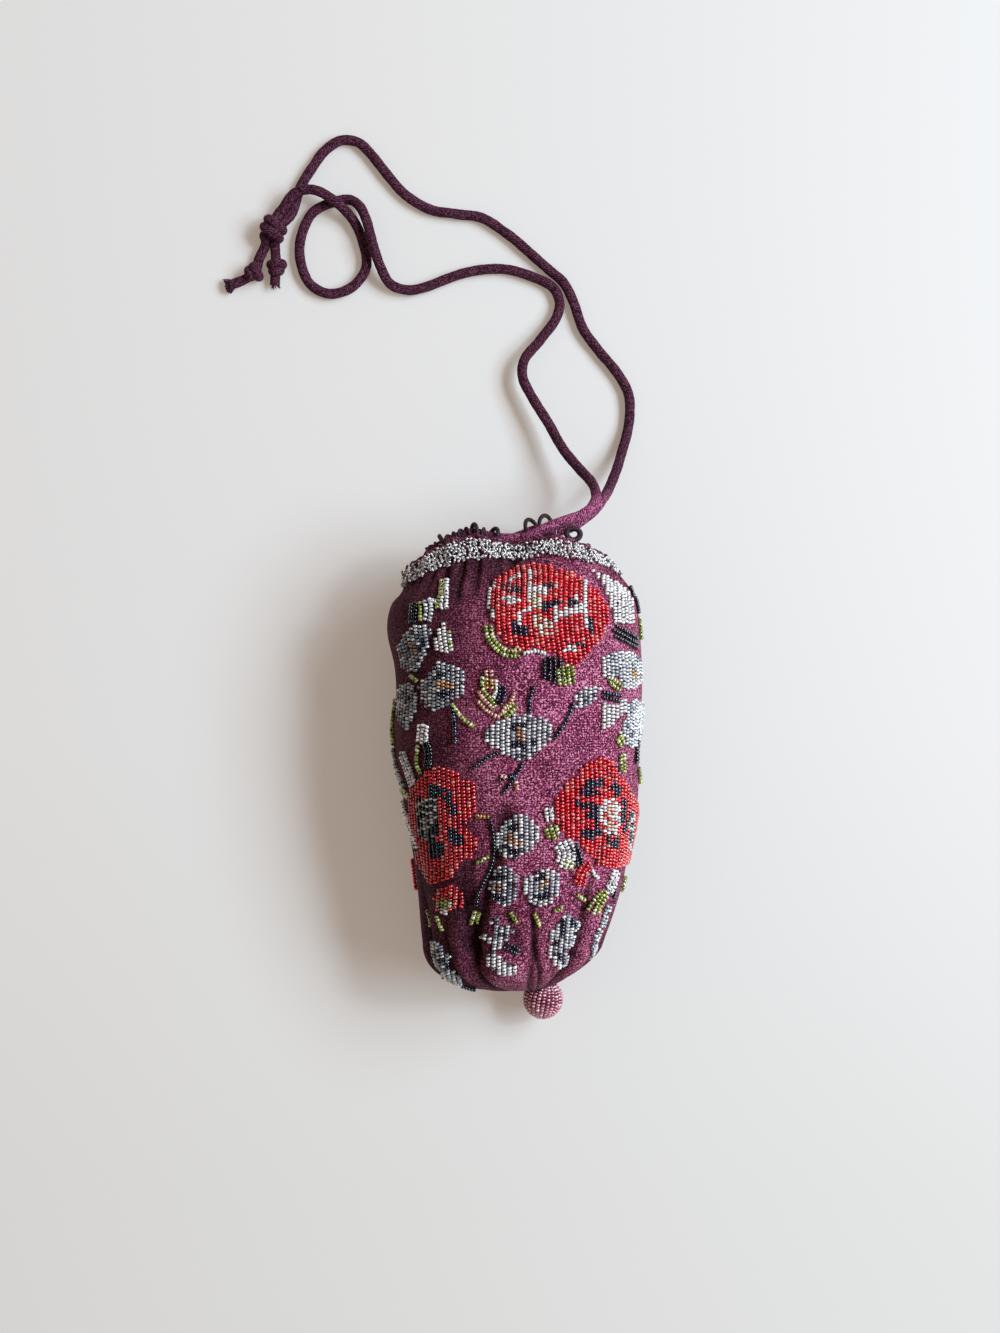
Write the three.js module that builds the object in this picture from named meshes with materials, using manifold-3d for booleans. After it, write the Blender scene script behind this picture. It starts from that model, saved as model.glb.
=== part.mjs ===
import * as THREE from 'three';
import { mergeVertices } from 'three/addons/utils/BufferGeometryUtils.js';
import Module from 'manifold-3d';

// A drawstring reticule lying on its side, in millimetres.
// +Y runs from the tucked base to the mouth, +Z is up and the cloth rests on z = 0.

const fullTurn = 2 * Math.PI;
const degree = Math.PI / 180;

const wall = 1.8; // cloth and lining together
const gap = 0.3; // air between neighbouring pieces
const around = 72; // steps round the pouch
const outerRows = { cap: 7, body: 21 };
const innerRows = { cap: 4, body: 9 };
const crowding = 0.3; // how much closer the rows stand at the mouth
const fullness = 2.2; // how square a cross-section is, 2 being an ellipse

// Cross-sections from the base upwards: outline seen from above, then crown and underside.
const sections = [
  { y: -66, left: -34.8, right: 34.4, top: 56.5, under: -3.0 },
  { y: -46, left: -37.4, right: 40.6, top: 61.0, under: -6.0 },
  { y: -29, left: -39.6, right: 43.9, top: 63.5, under: -7.0 },
  { y: -8, left: -43.4, right: 47.2, top: 65.5, under: -7.5 },
  { y: 12, left: -46.2, right: 48.2, top: 66.5, under: -7.5 },
  { y: 27, left: -45.4, right: 48.5, top: 66.5, under: -7.0 },
  { y: 40, left: -45.8, right: 48.6, top: 66.0, under: -6.0 },
  { y: 54, left: -48.6, right: 47.8, top: 64.5, under: -4.0 },
  { y: 66, left: -47.4, right: 46.2, top: 61.0, under: 0.5 },
  { y: 76, left: -43.4, right: 43.0, top: 56.0, under: 7.0 },
  { y: 84, left: -41.6, right: 39.0, top: 52.3, under: 12.2 },
  { y: 90, left: -41.2, right: 35.4, top: 48.6, under: 16.4 },
];
const capTop = sections[0].y;
const rimY = sections[sections.length - 1].y;

// The rounded base: its point, and how full each corner is.
const base = { x: 9.5, y: -85.6, z: 16.5, bowLeft: 2.4, bowRight: 1.5 };

// Tucks that run into the base point: where round the section, how deep, how far up and how wide.
const tucks = [
  { turn: 25, depth: 2.0, reach: 40, spread: 10 },
  { turn: 50, depth: 4.0, reach: 50, spread: 13 },
  { turn: 80, depth: 1.8, reach: 36, spread: 9 },
  { turn: 115, depth: 3.6, reach: 50, spread: 13 },
  { turn: 135, depth: 1.8, reach: 36, spread: 10 },
  { turn: 160, depth: 3.0, reach: 54, spread: 12 },
  { turn: 190, depth: 2.4, reach: 40, spread: 12 },
  { turn: 215, depth: 2.0, reach: 30, spread: 11 },
  { turn: 240, depth: 1.8, reach: 24, spread: 11 },
  { turn: 265, depth: 1.8, reach: 22, spread: 11 },
  { turn: 290, depth: 1.8, reach: 24, spread: 11 },
  { turn: 320, depth: 2.2, reach: 32, spread: 12 },
  { turn: 350, depth: 2.6, reach: 44, spread: 12 },
];

// The mouth: where the neck begins, how far its corners sit back, and its gathers.
const neckY = 56;
const setback = { left: 13, right: 9 };
const lowerLip = { rest: -5.2, peak: 5.8, turn: 297, spread: 20 }; // sits back, but for one fold
const gathers = { count: 18, depth: 1.3 };
const dip = { turn: 88, spread: 15, back: 4, drop: 3.5 };
const band = { low: 79, high: 88.6, lift: 0.4, thick: 1.1 };

// Thread rings on the mouth's edge, each in the valley of a gather.
const ring = { radius: 3.3, wire: 0.7, tip: 18, sides: 5, steps: 9 }; // tips over on the cord
const lean = { corner: 60, upper: 72, lowerLeft: 66, lowerRight: 45 }; // degrees inwards
const ringTurns = [96, 108, 132, 228, 252, 264];
const slackRing = { turns: [286, 294], radius: 4.2, out: 0.8, tip: 32 }; // drawn out past the lower lip
const emptyRing = { x: 21.9, y: 89.5, z: 43.0, radius: 2.5, axis: [0.15, 0.35, 0.92] }; // on the upper lip
const edgeStep = 5 * degree; // half the stretch of edge that sets which way a ring faces

// Cloth cord, the turn that it is drawn through and its knots.
const cord = { radius: 2.0, sides: 8, step: 8 };
const drawn = { turns: [300, 288, 276, 264, 252, 240, 228, 210, 150, 132, 120, 108, 96, 84], step: 3 };
const knot = { x: -95.2, y: 213.4, z: 5.4, turn: 3.3, apart: 2.1, steps: 14 };
const tailKnot = { turn: 1.7, step: 4 };

const ball = { radius: 7.0, x: 11.3, y: -91.0, z: 12.0, columns: 18, rows: 12 };

const clamp01 = (t) => Math.min(Math.max(t, 0), 1);
const ease = (t) => clamp01(t) ** 2 * (3 - 2 * clamp01(t));
const mix = (a, b, t) => a + (b - a) * t;
const bulge = (c) => Math.sign(c) * Math.abs(c) ** (2 / fullness);

function turnBetween(a, b) {
  const apart = Math.abs(a - b) % fullTurn;
  return Math.min(apart, fullTurn - apart);
}

// A smooth rise round one turn of the mouth, 1 at its middle.
function hump(turn, place) {
  return Math.exp(-((turnBetween(turn, place.turn * degree) / (place.spread * degree)) ** 2));
}

// One column of the table at y, as a smooth curve through its rows.
function sectionAt(y, column) {
  const last = sections.length - 2;
  const found = sections.findIndex((row, i) => i > 0 && y <= row.y) - 1;
  const i = found < 0 ? (y <= capTop ? 0 : last) : found;
  const [a, b] = [sections[i], sections[i + 1]];
  const before = sections[Math.max(i - 1, 0)];
  const after = sections[Math.min(i + 2, last + 1)];
  const step = b.y - a.y;
  const t = (y - a.y) / step;
  const leave = (b[column] - before[column]) / (b.y - before.y) * step;
  const arrive = (after[column] - a[column]) / (after.y - a.y) * step;
  const rise = b[column] - a[column];
  return a[column] + leave * t + (3 * rise - 2 * leave - arrive) * t ** 2
    + (leave + arrive - 2 * rise) * t ** 3;
}

// A point of the cloth, offset outwards from its outer face; a valley is as deep as the gathers go.
function pouchPoint(turn, y, offset, valley = false) {
  const side = Math.cos(turn);
  const rise = Math.sin(turn);
  const row = Math.max(y, capTop);
  const left = sectionAt(row, 'left') - offset;
  const right = sectionAt(row, 'right') + offset;
  const top = sectionAt(row, 'top') + offset;
  const under = sectionAt(row, 'under') - offset;
  const middle = { x: (left + right) / 2, z: (top + under) / 2 };
  const bow = mix(base.bowLeft, base.bowRight, (1 + side) / 2);
  const down = clamp01((capTop - y) / (capTop - base.y + offset));
  const shrink = (1 - down ** bow) ** (1 / bow);
  const drift = (1 - shrink) ** 2;
  const centre = { x: mix(middle.x, base.x, drift), z: mix(middle.z, base.z, drift) };
  const x = (right - left) / 2 * shrink * bulge(side);
  const z = (top - under) / 2 * shrink * bulge(rise);

  const neck = ease((y - neckY) / (rimY - neckY));
  const folds = tucks.reduce((sum, tuck) => {
    const near = ease(1 - turnBetween(turn, tuck.turn * degree) / (tuck.spread * degree));
    const along = ease(1 - (y - base.y) / tuck.reach);
    return sum + tuck.depth * near * along * Math.min(1, 2 * shrink);
  }, 0);
  const wave = valley ? 1 : 0.5 - 0.5 * Math.cos(gathers.count * turn);
  const pleat = gathers.depth * neck ** 2 * wave;
  const radius = Math.max(Math.hypot(x, z), wall);
  const draw = 1 - (folds + pleat) / radius;

  const dent = hump(turn, dip) * neck;
  const corner = (side < 0 ? setback.left : setback.right) * side ** 2;
  const lip = lowerLip.rest * Math.max(0, -rise) ** 2 + lowerLip.peak * hump(turn, lowerLip);
  const height = centre.z + z * draw - dip.drop * dent;
  return new THREE.Vector3(
    centre.x + x * draw,
    y + neck * (lip - corner) - dip.back * dent,
    Math.max(height, -offset),
  );
}

// A lathe whose rows are laid on the cloth: each row is { y, offset }.
function drape(rows, closesOnAxis) {
  const profile = rows.map((row, k) => {
    const pole = closesOnAxis && (k === 0 || k === rows.length - 1);
    return new THREE.Vector2(pole ? 0 : 1, k);
  });
  const cloth = new THREE.LatheGeometry(profile, around);
  const spots = cloth.getAttribute('position');
  for (let column = 0; column <= around; column += 1) {
    const turn = (column % around) / around * fullTurn;
    rows.forEach((row, k) => {
      const spot = pouchPoint(-turn, row.y, row.offset);
      spots.setXYZ(column * rows.length + k, spot.x, spot.y, spot.z);
    });
  }
  cloth.computeVertexNormals();
  return cloth;
}

// Rows of one face of the cloth, close together at the base point and at the gathers.
function faceRows(offset, capSteps, bodySteps) {
  const pole = base.y - offset;
  const rows = [];
  for (let k = 0; k < capSteps; k += 1) {
    const y = pole + (capTop - pole) * (1 - Math.cos(k / capSteps * Math.PI / 2));
    rows.push({ y, offset });
  }
  for (let k = 0; k <= bodySteps; k += 1) {
    const t = k / bodySteps;
    rows.push({ y: mix(capTop, rimY, t * (1 + crowding - crowding * t)), offset });
  }
  return rows;
}

function pouch() {
  const outer = faceRows(0, outerRows.cap, outerRows.body);
  const inner = faceRows(-wall, innerRows.cap, innerRows.body);
  return drape([...outer, ...inner.reverse()], true);
}

function mouthBand() {
  const inside = band.lift;
  const outside = inside + band.thick;
  const middle = (band.low + band.high) / 2;
  return drape([
    { y: band.low, offset: outside },
    { y: middle, offset: outside },
    { y: band.high, offset: outside },
    { y: band.high, offset: inside },
    { y: middle, offset: inside },
    { y: band.low, offset: inside },
    { y: band.low, offset: outside },
  ], false);
}

// Where a ring's centre stands off the mouth's edge, leaning inwards from it.
function ringCentre(turn) {
  const edgeAt = (at) => pouchPoint(at, rimY, -wall / 2, true);
  const along = edgeAt(turn + edgeStep).sub(edgeAt(turn - edgeStep)).normalize();
  const outwards = new THREE.Vector3(0, 1, 0).addScaledVector(along, -along.y).normalize();
  const inwards = new THREE.Vector3().crossVectors(along, outwards);
  const lower = mix(lean.lowerLeft, lean.lowerRight, (1 + Math.cos(turn)) / 2);
  const hang = Math.sin(turn) > 0 ? lean.upper : lower;
  const tilt = mix(lean.corner, hang, Math.abs(Math.sin(turn))) * degree;
  const seat = ring.radius + ring.wire + gap + (wall / 2 + gap) * Math.sin(tilt);
  return edgeAt(turn)
    .addScaledVector(outwards, seat * Math.cos(tilt))
    .addScaledVector(inwards, seat * Math.sin(tilt));
}

// A hoop about an axis through its centre.
function hoop(centre, axis, radius, { wire, sides, steps }) {
  const geometry = new THREE.TorusGeometry(radius, wire, sides, steps);
  const aim = axis.clone().normalize();
  geometry.applyQuaternion(new THREE.Quaternion().setFromUnitVectors(new THREE.Vector3(0, 0, 1), aim));
  return geometry.translate(centre.x, centre.y, centre.z);
}

const cordDirection = (turn) => ringCentre(turn + degree).sub(ringCentre(turn - degree)).normalize();

// A ring round the drawn cord, tipped over and moved out from it.
function threadRing(turn, { radius, tip, out = 0 }) {
  const centre = ringCentre(turn).add(new THREE.Vector3(0, out, 0));
  const axis = cordDirection(turn).multiplyScalar(Math.cos(tip * degree));
  axis.z += Math.sin(tip * degree);
  return hoop(centre, axis, radius, ring);
}

function cordAlong(points, step = cord.step) {
  const path = new THREE.CatmullRomCurve3(points, false, 'centripetal');
  const section = new THREE.Shape().absarc(0, 0, cord.radius, 0, fullTurn);
  return new THREE.ExtrudeGeometry(section, {
    extrudePath: path,
    steps: Math.ceil(path.getLength() / step),
    curveSegments: cord.sides / 2,
    bevelEnabled: false,
  });
}

const toPoints = (rows) => rows.map((row) => new THREE.Vector3(...row));

function drawstring() {
  return cordAlong(drawn.turns.map((turn) => ringCentre(turn * degree)), drawn.step);
}

// Routes of the free cord, from the mouth to the joining knot.
const strandA = [
  [16.5, 92.3, 24.1], [20.4, 92.7, 24.6], [24.8, 95.2, 24.4], [28.6, 98.0, 23.6], [31.6, 100.8, 22.4],
  [34.4, 104.6, 19.2], [37.4, 110.0, 14.0], [40.0, 116.2, 9.0], [42.6, 124.0, 4.8], [45.2, 133.5, 2.4],
  [46.2, 141.0, 2.1], [45.5, 148.4, 2.1], [42.2, 155.0, 2.1], [33.5, 165.8, 2.1], [27.6, 173.9, 2.1],
  [23.9, 184.2, 2.1], [19.7, 192.6, 2.1], [13.7, 197.8, 2.1], [5.0, 205.6, 2.1], [-3.2, 212.4, 2.1],
  [-13.2, 218.5, 2.1], [-22.8, 219.9, 2.1], [-32.7, 221.5, 2.1], [-42.6, 227.0, 2.1], [-49.8, 234.7, 2.1],
  [-57.8, 244.7, 2.1], [-61.8, 248.2, 2.1], [-66.2, 249.4, 2.1], [-69.9, 249.0, 2.1], [-75.5, 245.0, 2.1],
  [-80.2, 238.8, 2.1], [-84.1, 230.7, 2.1], [-88.4, 219.9, 3.1],
];
const strandB = [
  [2.9, 88.0, 38.4], [6.8, 89.3, 38.9], [11.5, 92.0, 38.9], [18.0, 94.6, 37.5], [25.0, 97.2, 34.2],
  [29.6, 100.8, 29.4], [31.5, 105.2, 24.6], [30.6, 110.4, 19.4], [25.6, 117.0, 14.4], [19.2, 125.2, 11.0],
  [14.1, 134.6, 9.0], [7.6, 145.4, 7.6], [3.4, 154.0, 6.6], [4.0, 161.0, 6.0], [10.0, 168.8, 4.8],
  [16.6, 178.0, 3.0], [18.2, 184.7, 2.2], [16.0, 190.0, 2.1], [11.0, 193.4, 2.1], [-4.4, 198.0, 2.1],
  [-19.9, 196.4, 2.1], [-35.1, 190.9, 2.1], [-42.4, 189.6, 2.2], [-49.0, 191.6, 3.6], [-53.2, 198.5, 5.6],
  [-56.2, 208.0, 6.5], [-58.9, 217.4, 6.0], [-61.6, 222.8, 4.2], [-66.0, 225.6, 2.3], [-74.4, 223.9, 2.1],
  [-81.0, 219.6, 2.1], [-85.1, 209.6, 2.1], [-85.0, 200.4, 2.1], [-81.0, 191.8, 2.1], [-73.4, 188.1, 2.1],
  [-64.2, 191.1, 2.1], [-59.0, 198.4, 2.1], [-60.3, 209.0, 2.1], [-64.2, 217.4, 3.6], [-70.4, 223.4, 6.6],
  [-79.4, 228.4, 6.9], [-87.2, 227.6, 6.6], [-92.3, 221.5, 4.5],
];

const wasm = await Module();
wasm.setup();

function solidOf(geometry) {
  const bare = geometry.clone();
  bare.deleteAttribute('normal');
  bare.deleteAttribute('uv');
  const merged = mergeVertices(bare, 1e-3);
  return new wasm.Manifold(new wasm.Mesh({
    numProp: 3,
    vertProperties: new Float32Array(merged.getAttribute('position').array),
    triVerts: new Uint32Array(merged.index.array),
  }));
}

function joined(geometries) {
  const body = geometries.map(solidOf).reduce((sum, next) => sum.add(next)).getMesh();
  const geometry = new THREE.BufferGeometry();
  geometry.setAttribute('position', new THREE.BufferAttribute(new Float32Array(body.vertProperties), 3));
  geometry.setIndex(new THREE.BufferAttribute(new Uint32Array(body.triVerts), 1));
  geometry.computeVertexNormals();
  return geometry;
}

// A turn of cord round a knot: centre, the direction it wraps round, and its radius.
function wrap(centre, axis, radius) {
  const strand = { wire: cord.radius, sides: cord.sides, steps: knot.steps };
  return hoop(new THREE.Vector3(...centre), new THREE.Vector3(...axis), radius, strand);
}

// Both strands go through the knot, and two slanting turns hold them.
function joiningKnot() {
  return joined([
    cordAlong(toPoints([[-88.6, 219.4, 3.2], [-93.2, 213.8, 4.6], [-95.3, 207.6, 3.0]])),
    cordAlong(toPoints([[-92.9, 220.4, 4.4], [-96.6, 214.0, 5.4], [-99.0, 208.2, 3.0]])),
    wrap([knot.x + 0.6, knot.y + knot.apart, knot.z], [0.1, 1, 0.25], knot.turn),
    wrap([knot.x - 0.4, knot.y - knot.apart, knot.z], [0.75, 1, -0.1], knot.turn),
  ]);
}

// A cut end: the cord, a small knot in it, and what is left beyond.
function tail(route, knotCentre, knotAxis) {
  return joined([cordAlong(toPoints(route), tailKnot.step), wrap(knotCentre, knotAxis, tailKnot.turn)]);
}

function tailLeft() {
  const route = [[-99.0, 207.4, 2.6], [-101.6, 202.0, 2.1], [-102.8, 197.4, 2.8], [-106.6, 194.3, 2.4],
    [-111.0, 192.4, 2.1], [-114.6, 191.0, 2.1]];
  return tail(route, [-103.1, 196.2, 3.8], [1, 0.9, 0.1]);
}

function tailRight() {
  const route = [[-95.2, 206.8, 2.6], [-95.0, 203.0, 2.3], [-94.6, 198.6, 3.0], [-95.1, 194.8, 2.4],
    [-95.3, 191.2, 2.1]];
  return tail(route, [-94.2, 198.6, 3.8], [-0.35, 1, 0.1]);
}

const cloth = { color: 0x6b3354, roughness: 0.95, metalness: 0 };
const cordCloth = { color: 0x5b2b4b, roughness: 0.9, metalness: 0 };
const silverBeads = { color: 0xc9ccd0, roughness: 0.3, metalness: 0.1 };
const pinkBeads = { color: 0xb26a80, roughness: 0.3, metalness: 0 };
const darkThread = { color: 0x2c1a1e, roughness: 0.8, metalness: 0 };

const reticule = new THREE.Group();

function put(name, geometry, look) {
  const mesh = new THREE.Mesh(geometry, new THREE.MeshStandardMaterial(look));
  mesh.name = name;
  reticule.add(mesh);
  return mesh;
}

put('pouch', pouch(), cloth);
put('mouth_band', mouthBand(), silverBeads);
const rings = [
  ...ringTurns.map((turn) => threadRing(turn * degree, ring)),
  ...slackRing.turns.map((turn) => threadRing(turn * degree, slackRing)),
  hoop(emptyRing, new THREE.Vector3(...emptyRing.axis), emptyRing.radius, ring),
];
rings.forEach((geometry, k) => {
  put(`thread_ring_${String(k + 1).padStart(2, '0')}`, geometry, darkThread);
});
put('drawstring', drawstring(), cordCloth);
put('strand_a', cordAlong(toPoints(strandA)), cordCloth);
put('strand_b', cordAlong(toPoints(strandB)), cordCloth);
put('joining_knot', joiningKnot(), cordCloth);
put('tail_left', tailLeft(), cordCloth);
put('tail_right', tailRight(), cordCloth);
put('base_ball', new THREE.SphereGeometry(ball.radius, ball.columns, ball.rows), pinkBeads)
  .position.set(ball.x, ball.y, ball.z);

export default reticule;
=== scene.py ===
import math
import bmesh
import bpy
import numpy as np
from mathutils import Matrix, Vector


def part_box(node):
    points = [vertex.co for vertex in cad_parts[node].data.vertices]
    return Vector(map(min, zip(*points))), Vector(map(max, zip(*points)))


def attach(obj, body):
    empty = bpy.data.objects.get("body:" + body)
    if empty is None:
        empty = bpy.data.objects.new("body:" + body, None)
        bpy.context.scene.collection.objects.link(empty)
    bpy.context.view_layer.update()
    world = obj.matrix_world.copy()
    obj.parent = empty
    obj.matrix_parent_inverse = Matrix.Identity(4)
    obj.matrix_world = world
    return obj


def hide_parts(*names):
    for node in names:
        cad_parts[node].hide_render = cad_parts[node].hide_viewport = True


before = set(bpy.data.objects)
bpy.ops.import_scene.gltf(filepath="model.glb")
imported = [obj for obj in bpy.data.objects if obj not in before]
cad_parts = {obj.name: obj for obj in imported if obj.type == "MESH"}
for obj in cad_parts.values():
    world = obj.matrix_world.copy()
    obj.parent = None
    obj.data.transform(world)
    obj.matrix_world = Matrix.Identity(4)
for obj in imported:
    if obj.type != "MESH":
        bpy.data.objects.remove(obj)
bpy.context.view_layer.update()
mm = 0.001
degree = math.pi / 180
fullTurn = 2 * math.pi
dice = np.random.default_rng(27)
scene = bpy.context.scene
print("frame loaded:", len(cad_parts), "nodes")

cameraView = {"spot": (-0.0056, 0.0396, 0.740), "lens": 50, "film": 36}  # straight above the bag
lookDown = bpy.data.cameras.new("lookDown")
lookDown.lens = cameraView["lens"]
lookDown.sensor_width = cameraView["film"]
eye = bpy.data.objects.new("lookDown", lookDown)
eye.location = cameraView["spot"]
scene.collection.objects.link(eye)
scene.camera = eye


def paint(code):  # sRGB hex to linear colour
    parts = [int(code[k:k + 2], 16) / 255 for k in (1, 3, 5)]
    return [c / 12.92 if c <= 0.04045 else ((c + 0.055) / 1.055) ** 2.4 for c in parts] + [1.0]


def addNode(tree, kind, inputs=None, stops=None, **settings):
    node = tree.nodes.new(kind)
    for name, value in settings.items():
        setattr(node, name, value)
    for k, (spot, code) in enumerate(stops or []):
        ramp = node.color_ramp.elements
        stop = ramp[k] if k < 2 else ramp.new(spot)
        stop.position = spot
        stop.color = paint(code)
    for name, value in (inputs or {}).items():
        if isinstance(value, bpy.types.NodeSocket):
            tree.links.new(value, node.inputs[name])
        else:
            node.inputs[name].default_value = value
    return node


def newMaterial(name):  # with the places that its textures are laid by
    material = bpy.data.materials.new(name)
    material.use_nodes = True
    tree = material.node_tree
    tree.nodes.clear()
    return material, tree, addNode(tree, "ShaderNodeTexCoord").outputs


def finishMaterial(tree, **sockets):
    shader = addNode(tree, "ShaderNodeBsdfPrincipled", {k.replace("_", " "): v for k, v in sockets.items()})
    addNode(tree, "ShaderNodeOutputMaterial", {"Surface": shader.outputs[0]})


def blotches(tree, place, size, detail=2.0, rough=0.5):  # size in mm
    return addNode(tree, "ShaderNodeTexNoise", {"Vector": place, "Scale": 1 / (size * mm), "Detail": detail,
        "Roughness": rough}).outputs["Fac"]


def yarns(tree, place, pitch, way, stray, detail, finer=1.0):  # threads side by side, pitch in mm
    return addNode(tree, "ShaderNodeTexWave", {"Vector": place, "Scale": fullTurn / 20 / (pitch * mm),
        "Distortion": stray, "Detail": detail, "Detail Scale": finer}, bands_direction=way).outputs["Fac"]


def addShare(tree, base, share, extra):  # the base and a share of the extra
    return addNode(tree, "ShaderNodeMath", {0: extra, 1: share, 2: base},
        operation="MULTIPLY_ADD").outputs[0]


def toned(tree, level, *stops):
    return addNode(tree, "ShaderNodeValToRGB", {"Fac": level}, stops=stops).outputs["Color"]


def withPaintedShade(tree, colour):  # times the tone and painted shade that each vertex carries: painted light on the crown and the lit side, painted shade in the folds and down the far side
    tone_and_painted_shade = addNode(tree, "ShaderNodeAttribute", attribute_name="tone_and_painted_shade").outputs["Color"]
    return addNode(tree, "ShaderNodeVectorMath", {0: colour, 1: tone_and_painted_shade},
        operation="MULTIPLY").outputs["Vector"]


def pebbled(tree, height, strength, depth):  # depth in mm
    return addNode(tree, "ShaderNodeBump", {"Height": height, "Strength": strength,
        "Distance": depth * mm}).outputs["Normal"]


woolLook = {  # wool crepe: over-twisted yarn gives a pebbled face with pale flecks and a soft nap
    "deep": "#300a1b", "plum": "#70254a", "rose": "#a34872", "fleck": "#dfabc3", "nap": "#d99ab8",
    "fleckSize": 0.7, "yarn": 0.95, "patch": 14.0,  # mm; the yarn is drawn a little coarse so that it shows
    "stray": 7.0, "share": 0.16,  # how far yarns wander, and what weave and patches add to the flecks
}
woolCrepe, tree, where = newMaterial("woven_wool_crepe")
fleck = blotches(tree, where["Object"], woolLook["fleckSize"], 3.0, 0.62)
patch = blotches(tree, where["Object"], woolLook["patch"])
warp, weft = (yarns(tree, where["UV"], woolLook["yarn"], way, woolLook["stray"], 3.0, 2.4) for way in "XY")
weave = addNode(tree, "ShaderNodeMath", {0: warp, 1: weft}, operation="MULTIPLY").outputs[0]
mottle = addShare(tree, fleck, woolLook["share"], weave)
tone = toned(tree, addShare(tree, mottle, woolLook["share"], patch), (0.52, woolLook["deep"]),
    (0.78, woolLook["fleck"]), (0.60, woolLook["plum"]), (0.68, woolLook["rose"]))
finishMaterial(tree, Base_Color=withPaintedShade(tree, tone), Normal=pebbled(tree, mottle, 0.75, 0.5), Roughness=0.92,
    Sheen_Weight=0.10, Sheen_Roughness=0.4, Sheen_Tint=paint(woolLook["nap"]), Specular_IOR_Level=0.25)

cordLook = {"deep": "#260815", "plum": "#7e2c55", "lilac": "#d08cab", "nap": "#c86a9a",
    "grain": 0.6, "rib": 0.55, "ribShare": 0.14}  # mm, share
crepeCord, tree, where = newMaterial("sewn_crepe_cord")  # a tube of finer crepe, turned right side out
grain = blotches(tree, where["Object"], cordLook["grain"], 3.0, 0.6)
ribs = yarns(tree, where["UV"], cordLook["rib"], "DIAGONAL", 6.0, 2.0)
blend = addShare(tree, grain, cordLook["ribShare"], ribs)
tone = toned(tree, blend, (0.46, cordLook["deep"]), (0.70, cordLook["lilac"]), (0.57, cordLook["plum"]))
finishMaterial(tree, Base_Color=withPaintedShade(tree, tone), Normal=pebbled(tree, blend, 0.6, 0.35), Roughness=0.9,
    Sheen_Weight=0.13, Sheen_Roughness=0.4, Sheen_Tint=paint(cordLook["nap"]), Specular_IOR_Level=0.2)

liningLook = {"dark": "#1d0f12", "brown": "#37201f", "thread": 0.5}  # mm
cottonLining, tree, where = newMaterial("dark_cotton_lining")  # plain-woven, dull and brown with age
thread = blotches(tree, where["Object"], liningLook["thread"])
tone = toned(tree, thread, (0.35, liningLook["dark"]), (0.7, liningLook["brown"]))
finishMaterial(tree, Base_Color=tone, Normal=pebbled(tree, thread, 0.5, 0.2), Roughness=0.9)

threadLook = {"dark": "#1c0c13", "brown": "#47222f", "ply": 0.6}  # mm
waxedThread, tree, where = newMaterial("waxed_buttonhole_thread")  # hard twist with a dull wax shine
ply = blotches(tree, where["Object"], threadLook["ply"])
tone = toned(tree, ply, (0.35, threadLook["dark"]), (0.7, threadLook["brown"]))
finishMaterial(tree, Base_Color=tone, Roughness=0.55, Specular_IOR_Level=0.4)

glassLook = {"smear": 1.6, "duller": 0.14}  # mm, and how much rougher a smear is


def seedGlass(name, silver, gloss):  # drawn glass: wet shine, each bead its own tint with painted shade at its ends
    material, tree, where = newMaterial(name)
    tint_with_painted_shade = addNode(tree, "ShaderNodeAttribute", attribute_name="tint_with_painted_shade")
    smear = blotches(tree, where["Object"], glassLook["smear"])
    shine = addNode(tree, "ShaderNodeMapRange", {"Value": smear, "To Min": gloss,
        "To Max": gloss + glassLook["duller"]})
    finishMaterial(tree, Base_Color=tint_with_painted_shade.outputs["Color"], Roughness=shine.outputs["Result"], IOR=1.6,
        Metallic=silver, Specular_IOR_Level=0.8, Coat_Weight=1.0, Coat_IOR=1.55, Coat_Roughness=0.05)
    return material


redGlass = seedGlass("drawn_red_glass", 0.0, 0.10)
flowerGlass = seedGlass("drawn_lustre_glass", 0.15, 0.10)
clearGlass = seedGlass("silver_lined_clear_glass", 0.25, 0.08)
pinkGlass = seedGlass("drawn_pink_glass", 0.0, 0.16)


def keepPiece(name, bm, materials, slot, *nodes):  # a finished bmesh becomes a piece of the bag
    mesh = bpy.data.meshes.new(name)
    bm.to_mesh(mesh)
    bm.free()
    return keepMesh(name, mesh, materials, slot, *nodes)


def keepMesh(name, mesh, materials, slot, *nodes):
    for material in materials:
        mesh.materials.append(material)
    mesh.polygons.foreach_set("use_smooth", [True] * len(mesh.polygons))
    piece = bpy.data.objects.new(name, mesh)
    scene.collection.objects.link(piece)
    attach(piece, "root")
    if nodes:
        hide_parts(*nodes)
    return piece


def ease(t):
    t = np.clip(t, 0, 1)
    return t * t * (3 - 2 * t)


def unit(rows):  # each row made one long
    return rows / np.maximum(np.linalg.norm(rows, axis=-1, keepdims=True), 1e-9)


def lengths(run):  # how far along a run each of its places lies
    return np.concatenate([[0], np.cumsum(np.linalg.norm(np.diff(run, axis=0), axis=1))])


def smoothRoute(points, step):  # an even run of places on one smooth curve through the points
    p = np.array(points, float)
    p = np.vstack([2 * p[0] - p[1], p, 2 * p[-1] - p[-2]])
    t = np.linspace(0, 1, 24, endpoint=False)[:, None]
    run = []
    for a, b, c, d in zip(p[:-3], p[1:-2], p[2:-1], p[3:]):
        ab, bc, cd = (math.sqrt(math.dist(*pair)) for pair in ((a, b), (b, c), (c, d)))
        leave = ((b - a) / ab - (c - a) / (ab + bc) + (c - b) / bc) * bc
        arrive = ((c - b) / bc - (d - b) / (bc + cd) + (d - c) / cd) * bc
        run.append(b + leave * t + (3 * (c - b) - 2 * leave - arrive) * t ** 2
            + (leave + arrive - 2 * (c - b)) * t ** 3)
    run = np.vstack(run + [p[-2:-1]])
    length = lengths(run)
    even = np.linspace(0, length[-1], max(3, round(length[-1] / step) + 1))
    return np.stack([np.interp(even, length, run[:, k]) for k in range(3)], 1), length[-1]


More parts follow.
